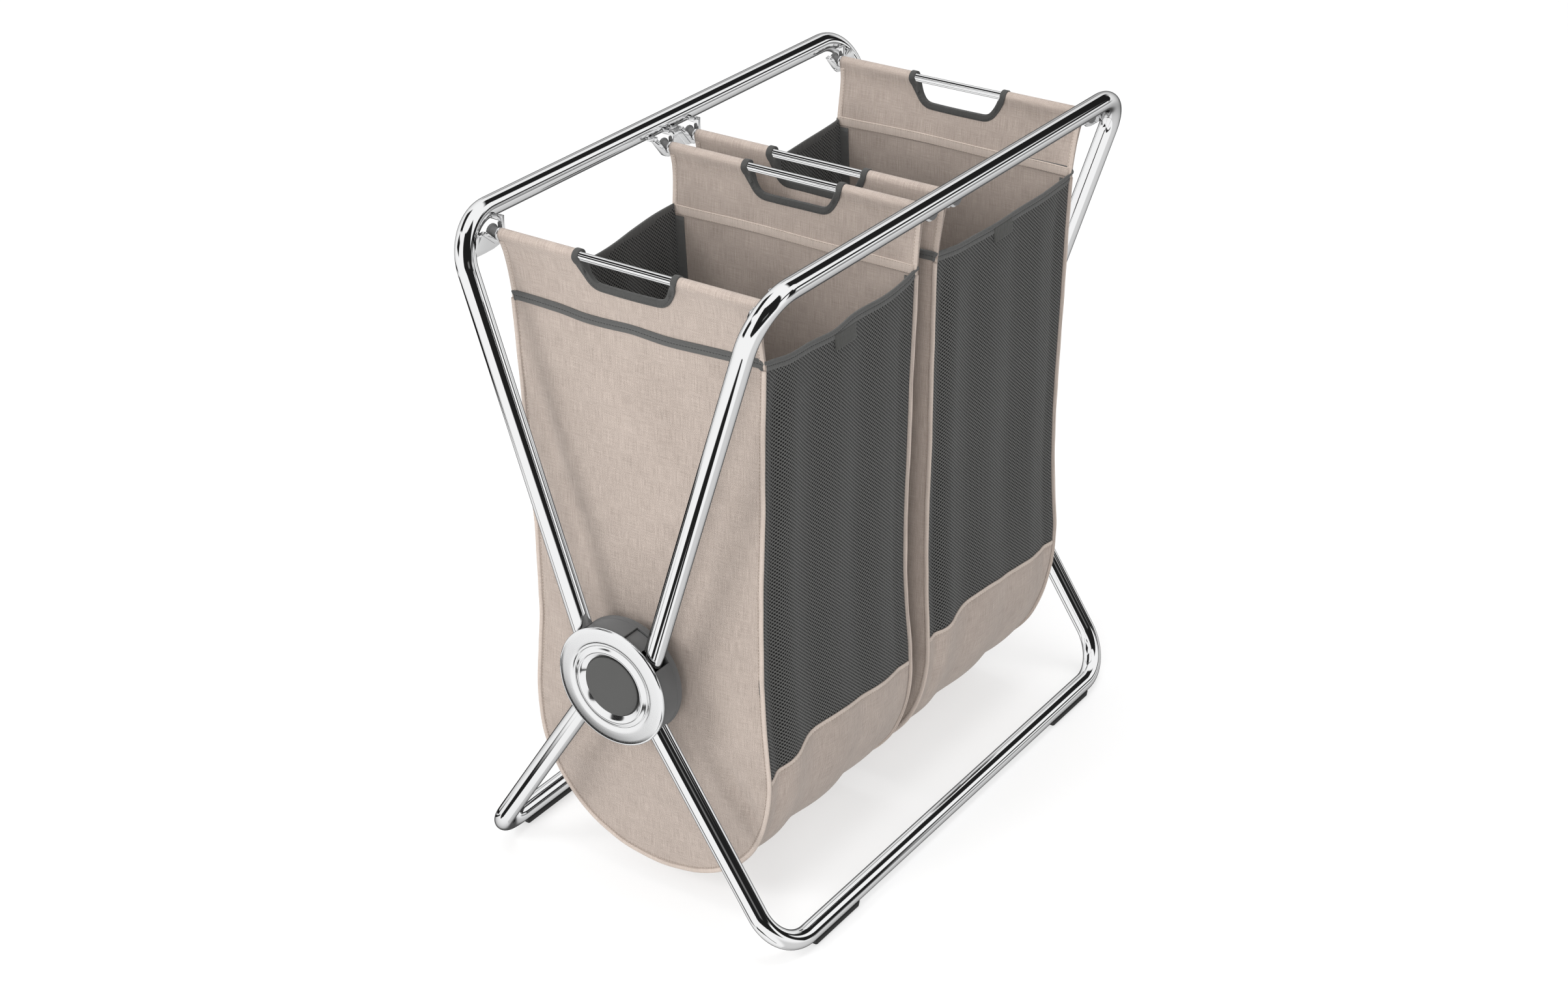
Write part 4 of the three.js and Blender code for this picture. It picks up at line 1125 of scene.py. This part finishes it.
def grip_binding(p):
    """Grey tape folded over the edge of the grip opening: one run below, with both layers in it, and a ring round each sleeve end."""
    edge = [(-57.2, 732.5), (-54.5, 727), (-51, 721), (-47.2, 715.8), (-43, 712.3), (-37.5, 710.2), (-28, 709.7), (0, 709.9),
            (28, 709.7), (37.5, 710.2), (43, 712.3), (47.2, 715.8), (51, 721), (54.5, 727), (57.2, 732.5)]
    line = spline(edge, 110, relax=4)
    y, z = line[:, 0], line[:, 1]
    x = flap_x(p, y, z, 0)
    path = np.stack([x, y, z], 1)
    tan = tangents(path)
    normal = np.cross(tan, np.array([1.0, 0, 0]))
    sep = HALF_SEP(z)
    parts = []
    t = tangents(path)
    n = unit(normal)
    b = np.cross(n, t)
    sec = np.array(rounded(7.6, 1.0, 0.49, 3))
    k = len(sec)
    vv = []
    for i in range(len(path)):
        half = sep[i] + 0.95
        s = sec.copy()
        s[:, 1] = np.sign(sec[:, 1]) * (half - 0.5 + np.abs(sec[:, 1]))
        vv.append(path[i] + n[i] * s[:, :1] + b[i] * s[:, 1:])
    v = np.vstack(vv)
    f = []
    for i in range(len(path) - 1):
        for j in range(k):
            j2 = (j + 1) % k
            f.append((i * k + j, i * k + j2, (i + 1) * k + j2, (i + 1) * k + j))
    f += [tuple(range(k - 1, -1, -1)), tuple((len(path) - 1) * k + j for j in range(k))]
    arcs = np.concatenate([[0], np.cumsum(np.linalg.norm(np.diff(path, axis=0), axis=1))])
    per = np.concatenate([[0], np.cumsum(np.linalg.norm(np.diff(sec, axis=0), axis=1))])
    uv = np.stack([np.repeat(arcs, k), np.tile(per, len(path))], 1)
    f = outward(v - v.mean(0), f)
    parts.append((v, f, uv))
    for sgn in (1, -1):
        ring = []
        for side, order in ((1, 1), (-1, -1)):
            zs = [723.0, 727.0, 730.5, 733.5, 736.0, ROD_Z]
            yz = [(53.0, 723.0), (54.9, 727.0), (56.6, 730.5), (58.0, 733.5), (59.2, 736.0), (60.0, ROD_Z)]
            pts = [(float(flap_x(p, np.array([sgn * a]), np.array([c]), side)[0]) + p.o * side * 0.35, sgn * a, c) for a, c in yz]
            if order < 0:
                pts = pts[::-1]
                xr = float(flap_x(p, np.array([60.0]), np.array([ROD_Z]), 0)[0])
                for j in range(1, 12):
                    a = math.pi * j / 12
                    ring.append((xr + p.o * (SLEEVE_R + 0.35) * math.cos(a), sgn * 60.3, ROD_Z + (SLEEVE_R + 0.35) * math.sin(a)))
            ring += pts
        path = spline(ring, 70, relax=3)
        centre = np.array([float(flap_x(p, np.array([60.0]), np.array([ROD_Z]), 0)[0]), sgn * 60, ROD_Z - 6])
        nor = path - centre
        nor[:, 1] = 0
        parts.append(sweep(path, unit(nor), rounded(2.1, 7.4, 0.95)))
    v, f, uv = joined(parts)
    o = make(f"{p.name}_grip_binding", v, f, GRIP_TAPE, uv)
    put(o, "bag_" + p.bag)
    threads = []
    inner = spline([(a * 0.985, c - 1.9) for a, c in edge[1:-1]], 90, relax=4)
    for side in (1, -1):
        x = flap_x(p, inner[:, 0], inner[:, 1], side) + p.o * side * 0.95
        threads.append(stitches(np.stack([x, inner[:, 0], inner[:, 1]], 1), (p.o * side, 0, 0), 3.3, 2.2, 0.32))
    v, f, _ = joined(threads)
    put(make(f"{p.name}_grip_stitching", v, f, THREAD_D), "bag_" + p.bag)


def welt(p):
    """Folded piping round the panel's U edge, its row of stitches, and the tape over the seam inside."""
    n = 330
    at = np.linspace(7.0, U_LEN - 7.0, n)
    y, z, ny, nz = interp_u(at, -1.9)
    x = p.x(y, z) + p.o * 0.35
    wave = 0.25 * np.sin(at / 23.0 + p.rod) + 0.15 * np.sin(at / 9.0)
    path = np.stack([x + p.o * 0.1, y + ny * wave, z + nz * wave], 1)
    nor = np.stack([np.zeros(n), ny, nz], 1)
    sec = [(2.45, 0.0), (2.2, 0.85), (1.4, 1.45), (0.2, 1.6), (-1.2, 1.5), (-2.1, 1.15), (-2.6, 0.45), (-2.7, -0.4), (-2.2, -1.1),
           (-0.8, -1.4), (1.0, -1.4), (2.1, -0.9)]
    v, f, uv = sweep(path, nor, sec)
    o = make(f"{p.name}_welt", v, f, WELT, uv)
    put(o, "bag_" + p.bag)
    y, z, ny, nz = interp_u(at, -5.9)
    x = p.x(y, z) + p.o * 0.05
    v, f = stitches(np.stack([x, y, z], 1), (p.o, 0, 0), 3.9, 2.7, 0.32)
    put(make(f"{p.name}_welt_stitching", v, f, THREAD), "bag_" + p.bag)
    at = np.linspace(10.0, U_LEN - 10.0, 260)
    y, z, ny, nz = interp_u(at, -9.5)
    x = p.x(y, z) - p.o * (CLOTH_T + 0.6)
    v, f, uv = sweep(np.stack([x, y, z], 1), np.stack([np.zeros(len(y)), ny, nz], 1), rounded(12.0, 1.3, 0.6))
    put(make(f"{p.name}_seam_tape", v, f, TAPE, uv), "bag_" + p.bag)


# height of the mesh's upper edge (top of its binding) and of the seam to the bottom cloth, by x
MESH_TOP = {
    ("near", -1): table([(-305, 676), (-292, 673.9), (-258.6, 668.4), (-224.5, 666.6), (-180.8, 663.4), (-142.6, 667.8), (-90.8, 666.3), (-44.2, 669.4), (-25, 676)]),
    ("near", 1): table([(-305, 675), (-260, 668), (-166, 666), (-100, 673), (-59, 677), (-25, 678)]),
    ("far", -1): table([(5, 678), (62, 671), (142, 668.3), (225.6, 668.7), (300, 671), (310, 674)]),
    ("far", 1): table([(5, 676), (60, 668), (150, 666.5), (225.6, 669), (310, 675)]),
}
MESH_LOW = {
    "near": table([(-305, 188), (-300.6, 189.6), (-267.7, 199.8), (-223, 212.6), (-178.7, 214.8), (-125.3, 208.3), (-79.3, 204.9), (-25, 201)]),
    "far": table([(5, 206.5), (9.6, 207.2), (41.7, 207.6), (82.4, 214.7), (133.9, 218.5), (175.4, 212.5), (220.6, 209.6), (300, 203.5)]),
}
SIDE_Z = table([(a, z) for a, z in zip(U_ARC[:200], U_LINE[:200, 1])])
SIDE_ARC = table([(z, a) for a, z in zip(U_ARC[:200], U_LINE[:200, 1])])


class Wrap:
    """The mesh sides and the bottom cloth of one bag, between its two end panels' seams."""

    def __init__(self, bag, lo, hi):
        self.bag, self.lo, self.hi = bag, lo, hi
        self.inset = -2.6

    def point(self, x01, a, sag=True):
        """x01 runs from the low-x panel to the high-x one; a is arc length along the U outline from its left end."""
        y, z, ny, nz = interp_u(a, self.inset)
        x0 = self.lo.x(y, z) + 1.6
        x1 = self.hi.x(y, z) - 1.6
        x = x0 + (x1 - x0) * x01
        d = self.bulge(x - x0, x1 - x0, a) if sag else 0.0
        return np.stack([x, y + ny * d, z + nz * d], -1), np.stack([np.zeros_like(ny), ny, nz], -1)

    def bulge(self, s, w, a):
        """How far the cloth stands out, s from the low seam across a width w."""
        side = np.minimum(a, U_LEN - a)                 # distance down from the band
        right = a > U_LEN / 2
        e = np.minimum(s, w - s)
        hold = 1 - np.exp(-(e / 14.0) ** 2)
        g = lambda c, k: np.exp(-((s - c) / k) ** 2)
        fade = np.clip(side / 60, 0, 1) * (0.35 + 0.65 * np.clip((U_LEN / 2 - side) / 300, 0, 1))
        if self.bag == "near":
            f1 = -6.5 * g(17, 11) + 3.6 * g(46, 15) - 3.2 * g(84, 18) + 2.8 * g(128, 22) - 3.0 * g(172, 18) + 2.6 * g(214, 20) - 2.2 * g(250, 11)
        else:
            f1 = -5.2 * g(14, 10) + 3.0 * g(40, 14) - 2.8 * g(80, 18) + 2.4 * g(124, 22) - 2.8 * g(170, 19) + 3.4 * g(220, 20) - 3.4 * g(262, 12)
        drift = np.sin(side / 95.0 + np.where(right, 0.4, 2.2) + s / 60.0)
        f2 = 1.1 * drift * np.sin(s / 37.0 + side / 160.0)
        belly = 3.2 * np.sin(math.pi * np.clip(s / w, 0, 1)) * np.exp(-((side - 430) / 120.0) ** 2)
        low = np.exp(-((side - U_LEN / 2) / 260.0) ** 2) * (1.6 * np.sin(s / 21.0 + 0.8 * np.sin(side / 70.0)) + 1.2 * np.sin(s / 12.5 + 1.0 + side / 90.0)) * 0.85
        return hold * (fade * (f1 + f2) + belly + low) - 0.6 * (1 - hold)

    def strip(self, name, x01, arcs, mat, thick, slot):
        """A sheet with its rows at arc lengths arcs[i, j] for the columns x01[i]."""
        nu, nv = arcs.shape
        X = np.repeat(np.asarray(x01)[:, None], nv, 1)
        p, n = self.point(X.ravel(), arcs.ravel())
        f = grid_faces(nu, nv)
        k = len(p) // 2
        normal = vertex_normals(p, f)
        if (normal * n).sum() < 0:
            f = f[:, ::-1]
        area = sum(0.5 * np.linalg.norm(np.cross(p[q[2]] - p[q[0]], p[q[3]] - p[q[1]])) for q in f)
        v2, f2 = shell(p, f, thick)
        uv = np.stack([p[:, 0], arcs.ravel()], 1)
        o = make(name, v2, f2, mat, np.vstack([uv, uv]))
        return put(o, "bag_" + self.bag), area / 1e6

    def seam_arc(self, x, side):
        a = SIDE_ARC(MESH_LOW[self.bag](x))
        return a if side > 0 else U_LEN - a

    def top_arc(self, x, side):
        a = SIDE_ARC(np.clip(MESH_TOP[(self.bag, side)](x) - 3.0, 640, 673.6))
        return a if side > 0 else U_LEN - a


WRAPS = {"near": Wrap("near", NEAR_OUT, NEAR_IN), "far": Wrap("far", FAR_IN, FAR_OUT)}
AREAS = {}


def bag_wrap(w):
    x01 = np.linspace(0, 1, 85)
    xs = w.lo.x(157.0, 400.0) + (w.hi.x(157.0, 400.0) - w.lo.x(157.0, 400.0)) * x01
    for side, side_name in ((1, "left"), (-1, "right")):
        a0, a1 = w.top_arc(xs, side), w.seam_arc(xs, side) + side * 2.5
        r = np.linspace(0, 1, 121)
        arcs = a0[:, None] + (a1 - a0)[:, None] * r[None]
        o, area = w.strip(f"{w.bag}_net_{side_name}", x01, arcs, NET, 1.3, "bag_mesh")
        AREAS[o.name] = (o, area, abs(float(xs[-1] - xs[0])) / 1000, 0.485)
    a0, a1 = w.seam_arc(xs, 1), w.seam_arc(xs, -1)
    r = np.linspace(0, 1, 181)
    arcs = a0[:, None] + (a1 - a0)[:, None] * r[None]
    inset, w.inset = w.inset, w.inset + 0.9
    o, area = w.strip(f"{w.bag}_bottom_cloth", x01, arcs, CLOTH, 1.0, "bag_cloth")
    AREAS[o.name] = (o, area, abs(float(xs[-1] - xs[0])) / 1000, float(np.abs(a1 - a0).mean()) / 1000)
    # turned edge of the bottom cloth over the net, with its stitches
    bits, threads = [], []
    for side in (1, -1):
        a = w.seam_arc(xs, side)
        p, n = w.point(x01, a + side * 2.2)
        p = p + n * 0.25
        bits.append(sweep(p, n, rounded(1.3, 5.0, 0.6)))
        q, n = w.point(x01[2:-2], (a + side * 4.0)[2:-2])
        threads.append(stitches(q + n * 0.85, n, 3.8, 2.6, 0.32))
    w.inset = inset
    v, f, uv = joined(bits)
    put(make(f"{w.bag}_bottom_hem", v, f, WELT, uv), "bag_" + w.bag)
    v, f, _ = joined(threads)
    put(make(f"{w.bag}_bottom_stitching", v, f, THREAD), "bag_" + w.bag)


BAND_TOP = table([(-162, 680), (-130, 679), (-87, 677.7), (-41, 675.9), (2, 677.6), (29, 676), (58, 675.2), (92, 677.4), (122, 677.6), (152, 676.8), (162, 676.6)])


def bag_band(w):
    """One grey tape round the whole bag: flat on the end panels, folded over the net's upper edge."""
    pts = []
    for p, sgn in ((w.lo, 1), (w.hi, -1)):
        ys = np.linspace(153.5, -153.5, 60) * sgn
        z = BAND_TOP(ys) - 5.2
        x = p.x(ys, z) + p.o * 0.75
        pts.append((np.stack([x, ys, z], 1), np.tile([p.o, 0.0, 0.0], (len(ys), 1))))
        # the net side that follows: right after the low panel, left after the high one
        side = -sgn
        x01 = np.linspace(0.018, 0.982, 64)
        if sgn < 0:
            x01 = x01[::-1]
        x0, x1 = w.lo.x(157.0, 668.0), w.hi.x(157.0, 668.0)
        xs = x0 + (x1 - x0) * x01
        zt = MESH_TOP[(w.bag, side)](xs) - 5.2
        a = SIDE_ARC(np.clip(zt, 600, 673.6))
        a = a if side > 0 else U_LEN - a
        q, n = w.point(x01, a)
        q[:, 2] = zt
        q += n * -0.15
        pts.append((q, np.tile([0.0, float(side), 0.0], (len(xs), 1))))
    path, nor = [], []
    for i, (q, n) in enumerate(pts):
        path.append(q)
        nor.append(n)
        q2, n2 = pts[(i + 1) % 4]
        a, b = q[-1], q2[0]
        # round the corner outside the welt
        ctrl = np.array([q[-1][0] + n[-1][0] * 1.3, b[1] + n2[0][1] * 1.3, (a[2] + b[2]) / 2])
        if i % 2:
            ctrl = np.array([b[0] + n2[0][0] * 1.3, a[1] + n[-1][1] * 1.3, (a[2] + b[2]) / 2])
        for k in range(1, 9):
            t = k / 9
            path.append(((1 - t) ** 2 * a + 2 * t * (1 - t) * ctrl + t * t * b)[None])
            nor.append(unit((1 - t) * n[-1] + t * n2[0])[None])
    path, nor = np.vstack(path), np.vstack(nor)
    for _ in range(3):
        nor = unit(np.roll(nor, 1, 0) + 2 * nor + np.roll(nor, -1, 0))
        path = (np.roll(path, 1, 0) + 4 * path + np.roll(path, -1, 0)) / 6
    sec = [(1.25, 4.6), (0.9, 5.25), (0, 5.5), (-0.9, 5.2), (-1.2, 4.4), (-1.2, -4.4), (-0.9, -5.0), (0.0, -5.2), (0.85, -4.9), (1.2, -4.3),
           (1.3, -2.2), (0.95, -0.5), (0.75, 0.0), (0.95, 0.5), (1.3, 2.2)]
    v, f, uv = sweep(path, nor, sec, closed=True)
    o = make(f"{w.bag}_band", v, f, TAPE, uv)
    put(o, "bag_" + w.bag)
    loop = np.vstack([path, path[:1]])
    nn = np.vstack([nor, nor[:1]])
    v, f = stitches(loop + nn * 0.85, nn, 3.6, 2.5, 0.36)
    put(make(f"{w.bag}_band_stitching", v, f, THREAD_D), "bag_" + w.bag)


def tab(w, x0, x1, z_top, z_low):
    """Bare folded ribbon that hangs from the band on the right-hand net."""
    nu, nv = 17, 11
    xs = np.linspace(x0, x1, nu)
    lo, hi = w.lo.x(157.0, 650.0), w.hi.x(157.0, 650.0)
    v = []
    for x in xs:
        x01 = (x - lo - 1.6) / (hi - lo - 3.2)
        for j in range(nv):
            t = j / (nv - 1)
            z = z_top + (z_low - z_top) * t + 0.5 * math.sin((x - x0) / 9.0) * t
            a = U_LEN - float(SIDE_ARC(z))
            q, n = w.point(np.array([x01]), np.array([a]))
            out = 1.2 + 1.6 * t * t + 0.5 * math.sin((x - x0) / 13.0) * t
            v.append((x, q[0, 1] - out, z))
    v = np.array(v)
    f = orient(v, grid_faces(nu, nv), (0, -1, 0))
    v2, f2 = shell(v, f, 1.1)
    uv = np.stack([v[:, 0], v[:, 2]], 1)
    put(make(f"{w.bag}_tab", v2, f2, TAB, np.vstack([uv, uv])), "bag_" + w.bag)


for p in PANELS:
    body_obj, area = panel_body(p)
    flap_obj, area = flap(p)
    grip_binding(p)
    welt(p)
for w in WRAPS.values():
    bag_wrap(w)
    bag_band(w)
tab(WRAPS["near"], -179, -140, 658, 641)
tab(WRAPS["far"], 126, 166, 664, 648)

# ------------------------------------------------------------------ rods and their rubber ends
ROD_PROFILE = [(0, -168.2), (3.9, -168.2), (4.5, -167.6), (4.5, -100), (4.5, 0), (4.5, 100), (4.5, 167.6), (3.9, 168.2), (0, 168.2)]
RING_PROFILE = [(4.55, 160.3), (6.2, 160.3), (6.6, 160.7), (6.6, 162.3), (6.2, 162.7), (4.55, 162.7)]
END_PROFILE = [(4.6, 162.5), (5.9, 162.5), (5.75, 163.2), (5.6, 164.6), (5.6, 167.4), (5.75, 168.6),
               (6.4, 169.5), (7.6, 170.0), (8.3, 170.4), (8.6, 171.0), (8.6, 171.8), (8.2, 172.5), (7.2, 172.9), (4.0, 173.2), (0, 173.3),
               (0, 168.6), (4.6, 168.6)]
for bag, xs in (("near", {"outer": -ROD_OUT, "inner": -ROD_IN}), ("far", {"inner": ROD_IN, "outer": ROD_OUT})):
    for which, x in xs.items():
        v, f = lathe(ROD_PROFILE, "y", 48)
        v = v + np.array([x, 0, ROD_Z])
        put(make(f"{bag}_{which}_rod", v, f, CHROME, sharp=50), "bag_" + bag, f"rod_{bag}_{which}")
        for side_name, side in (("left", 1), ("right", -1)):
            v, f = lathe(END_PROFILE, "y", 48, closed=True)
            v = v * np.array([1, side, 1]) + np.array([x, 0, ROD_Z])
            if side < 0:
                f = [tuple(reversed(q)) for q in f]
            vr, fr = lathe(RING_PROFILE, "y", 48, closed=True)
            vr = vr * np.array([1, side, 1]) + np.array([x, 0, ROD_Z])
            if side < 0:
                fr = [tuple(reversed(q)) for q in fr]
            put(make(f"{bag}_{which}_rod_ring_{side_name}", vr, fr, CHROME, sharp=50), "bag_" + bag)
            put(make(f"{bag}_{which}_rod_end_{side_name}", v, f, RUBBER, sharp=55), "bag_" + bag, f"rod_end_{bag}_{which}_{side_name}")

# the fabric stands for the plain CAD solids
for p in PANELS:
    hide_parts(f"bag_{p.bag}_panel_{p.which}")
for w in WRAPS.values():
    for s in ("left", "right"):
        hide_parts(f"bag_{w.bag}_mesh_{s}")
    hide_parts(f"bag_{w.bag}_bottom")

for o, area, wide, long in AREAS.values():
    bag = o.name.split("_")[0]

# ------------------------------------------------------------------ floor, light
me = bpy.data.meshes.new("floor")
me.from_pydata([(-40, -40, 0), (40, -40, 0), (40, 40, 0), (-40, 40, 0)], [], [(0, 1, 2, 3)])
floor = bpy.data.objects.new("floor", me)
scene.collection.objects.link(floor)
m, t, s = material("floor_paint", roughness=0.9, specular=0.1)
cloud = t.noise(object_coords(t), 2.0, 3.0)
t.link(t.mix(cloud, (0.415, 0.415, 0.415, 1), (0.425, 0.425, 0.425, 1)), s.inputs["Base Color"])
s.inputs["Emission Color"].default_value = (1.0, 1.0, 1.0, 1)
s.inputs["Emission Strength"].default_value = 0.56
me.materials.append(m)
floor.visible_glossy = False
# a look choice: the photo's tubes mirror no cloth, so glossy rays pass the fabric
for o in scene.objects:
    if o.type == "MESH" and any(word in o.name for word in ("panel", "flap", "_net_", "bottom", "welt", "band", "grip", "tab", "hem", "stitch", "seam")):
        o.visible_glossy = False

world = bpy.data.worlds.new("studio")
scene.world = world
world.use_nodes = True
t = Tree(world.node_tree)
out = t.node("ShaderNodeOutputWorld")
path = t.node("ShaderNodeLightPath")
direction = t.node("ShaderNodeTexCoord").outputs["Generated"]
sep = t.node("ShaderNodeSeparateXYZ")
t.link(direction, sep.inputs[0])
dx, dy, dz = sep.outputs
deg = 180 / math.pi
az = t.math("MULTIPLY", t.math("ARCTAN2", dy, dx), deg)
el = t.math("MULTIPLY", t.math("ARCSINE", dz), deg)
az_in = t.math("MODULO", t.math("ADD", az, 360.0), 360.0)      # the same from 0 to 360
psi = t.math("MULTIPLY", t.math("ARCTAN2", dz, dy), deg)       # round X: what the rails mirror


def patch(*factors):
    out = factors[0]
    for f in factors[1:]:
        out = t.math("MULTIPLY", out, f)
    return out


# dark flags in front of the white studio, placed where the tubes in the photo mirror something dark
def between(value, low, high, soft):
    """1 where value lies between two limits, which may be sockets."""
    return t.math("MULTIPLY", t.ramp(t.math("SUBTRACT", value, low), -soft, soft), t.ramp(t.math("SUBTRACT", value, high), -soft, soft, 1.0, 0.0))


top1 = t.math("MAXIMUM", t.math("MULTIPLY_ADD", az_in, -0.735, 68.2),
              t.math("MINIMUM", t.math("MULTIPLY_ADD", az_in, -0.05, -28.2), t.math("MULTIPLY_ADD", az_in, 0.9, -188.0)))
top1 = t.math("MINIMUM", top1, t.math("MULTIPLY_ADD", az_in, -0.6, 79.0))
low1 = t.math("MINIMUM", t.math("MULTIPLY_ADD", az_in, -0.05, -38.4), t.math("MULTIPLY_ADD", az_in, -0.6, 72.0))
flag1 = patch(t.band(az_in, 127, 227, 2.0), between(el, low1, top1, 1.0))
glint = t.math("MULTIPLY_ADD", patch(t.band(az, -123, -106, 3.0), t.band(el, 13, 20, 1.5)), -0.16, 1.0)
flag2 = patch(t.band(az, -166, -77, 2.5), between(el, t.math("MAXIMUM", -4.0, t.math("MULTIPLY_ADD", az, -0.7, -109.0)), 62.0, 1.5), glint)
flag3 = patch(t.band(az, -81, -50, 1.5), t.band(el, 12, 21, 1.5))
flag4 = patch(t.band(az, -59, -46, 1.5), t.band(el, -11, 14, 1.5))
flag5 = patch(t.band(az, -49, -27, 1.5), t.band(el, 4, 14, 1.5))
flag6 = patch(t.band(az, -31, -9, 2.0), between(el, t.math("MULTIPLY_ADD", az, 1.2, 34.0), 47.0, 1.5))
ceiling = patch(t.band(psi, 77, 122, 1.5), t.band(dx, 0.52, 0.92, 0.05))
thin1 = t.math("MULTIPLY", patch(t.band(psi, 31, 42, 2.5), t.band(dx, 0.6, 0.9, 0.05)), 0.72)
thin2 = t.math("MULTIPLY", patch(t.band(psi, -173, -156, 2.5), t.band(dx, 0.6, 0.9, 0.05)), 0.72)
chi = t.math("MULTIPLY", t.math("ARCTAN2", dz, dx), deg)       # round Y: what the rods mirror
flag7 = patch(t.band(chi, 77, 123, 3.0), t.band(dy, 0.44, 0.80, 0.03))
flag8 = patch(t.band(az, 58, 104, 1.5), t.band(el, -25.0, -19.9, 0.5))
flag9 = patch(t.band(az, 70, 118, 1.5), t.band(el, -31.5, -27.5, 0.7))
flag10 = patch(t.band(az, 118, 148, 2.0), t.band(el, 9, 34, 2.0))
total = flag1
for d in (flag2, flag3, flag4, flag5, flag6, ceiling, thin1, thin2, flag7, flag8, flag9, flag10):
    total = t.math("MAXIMUM", total, d)
# behind the hamper, as the camera looks, the studio falls off; it gives the tubes their dark outlines
ahead = t.math("MULTIPLY_ADD", dz, -0.477, t.math("MULTIPLY_ADD", dx, 0.7177, t.math("MULTIPLY", dy, 0.508)))
behind = t.ramp(ahead, 0.76, 0.93)
side = patch(t.band(az, -105, 15, 8.0), t.ramp(el, -6, -30))
level = t.math("MULTIPLY_ADD", side, -0.30, 0.97)
level = t.math("MULTIPLY", level, t.math("MULTIPLY_ADD", behind, -0.74, 1.0))
level = t.math("MULTIPLY", level, t.math("MULTIPLY_ADD", total, -0.985, 1.0))
glossy = t.node("ShaderNodeBackground")
t.link(t.xyz(level, level, level), glossy.inputs[0])
# soft light for everything matt: fuller from the left and above, weaker from the right
away = t.math("MULTIPLY_ADD", dz, 0.30, t.math("MULTIPLY_ADD", dy, 0.62, t.math("MULTIPLY", dx, -0.72)))
fill = t.math("MULTIPLY_ADD", away, 0.30, 0.78)
soft = t.node("ShaderNodeBackground")
t.link(t.xyz(fill, fill, fill), soft.inputs[0])
white = t.node("ShaderNodeBackground")
white.inputs[0].default_value = (1, 1, 1, 1)
white.inputs[1].default_value = 1.05
m1 = t.node("ShaderNodeMixShader")
t.link(path.outputs["Is Glossy Ray"], m1.inputs[0])
t.link(soft.outputs[0], m1.inputs[1])
t.link(glossy.outputs[0], m1.inputs[2])
m2 = t.node("ShaderNodeMixShader")
t.link(path.outputs["Is Camera Ray"], m2.inputs[0])
t.link(m1.outputs[0], m2.inputs[1])
t.link(white.outputs[0], m2.inputs[2])
t.link(m2.outputs[0], out.inputs[0])


def area_light(name, at, to, size, watts, glossy=False):
    d = bpy.data.lights.new(name, "AREA")
    d.shape, d.size, d.energy = "DISK", size, watts
    o = bpy.data.objects.new(name, d)
    scene.collection.objects.link(o)
    o.location = at
    o.rotation_mode = "QUATERNION"
    o.rotation_quaternion = (Vector(to) - Vector(at)).to_track_quat("-Z", "Y")
    o.visible_glossy = glossy
    return o


area_light("key", (-3.4, 1.4, 2.6), (0, 0, 0.4), 1.5, 62)
area_light("rake", (-3.4, -1.7, 1.9), (0, 0, 0.45), 1.2, 42)
area_light("top", (0.1, -0.2, 4.4), (0, 0, 0.3), 2.6, 80)

scene.view_settings.view_transform = "Standard"
scene.view_settings.look = "None"

bpy.context.view_layer.update()
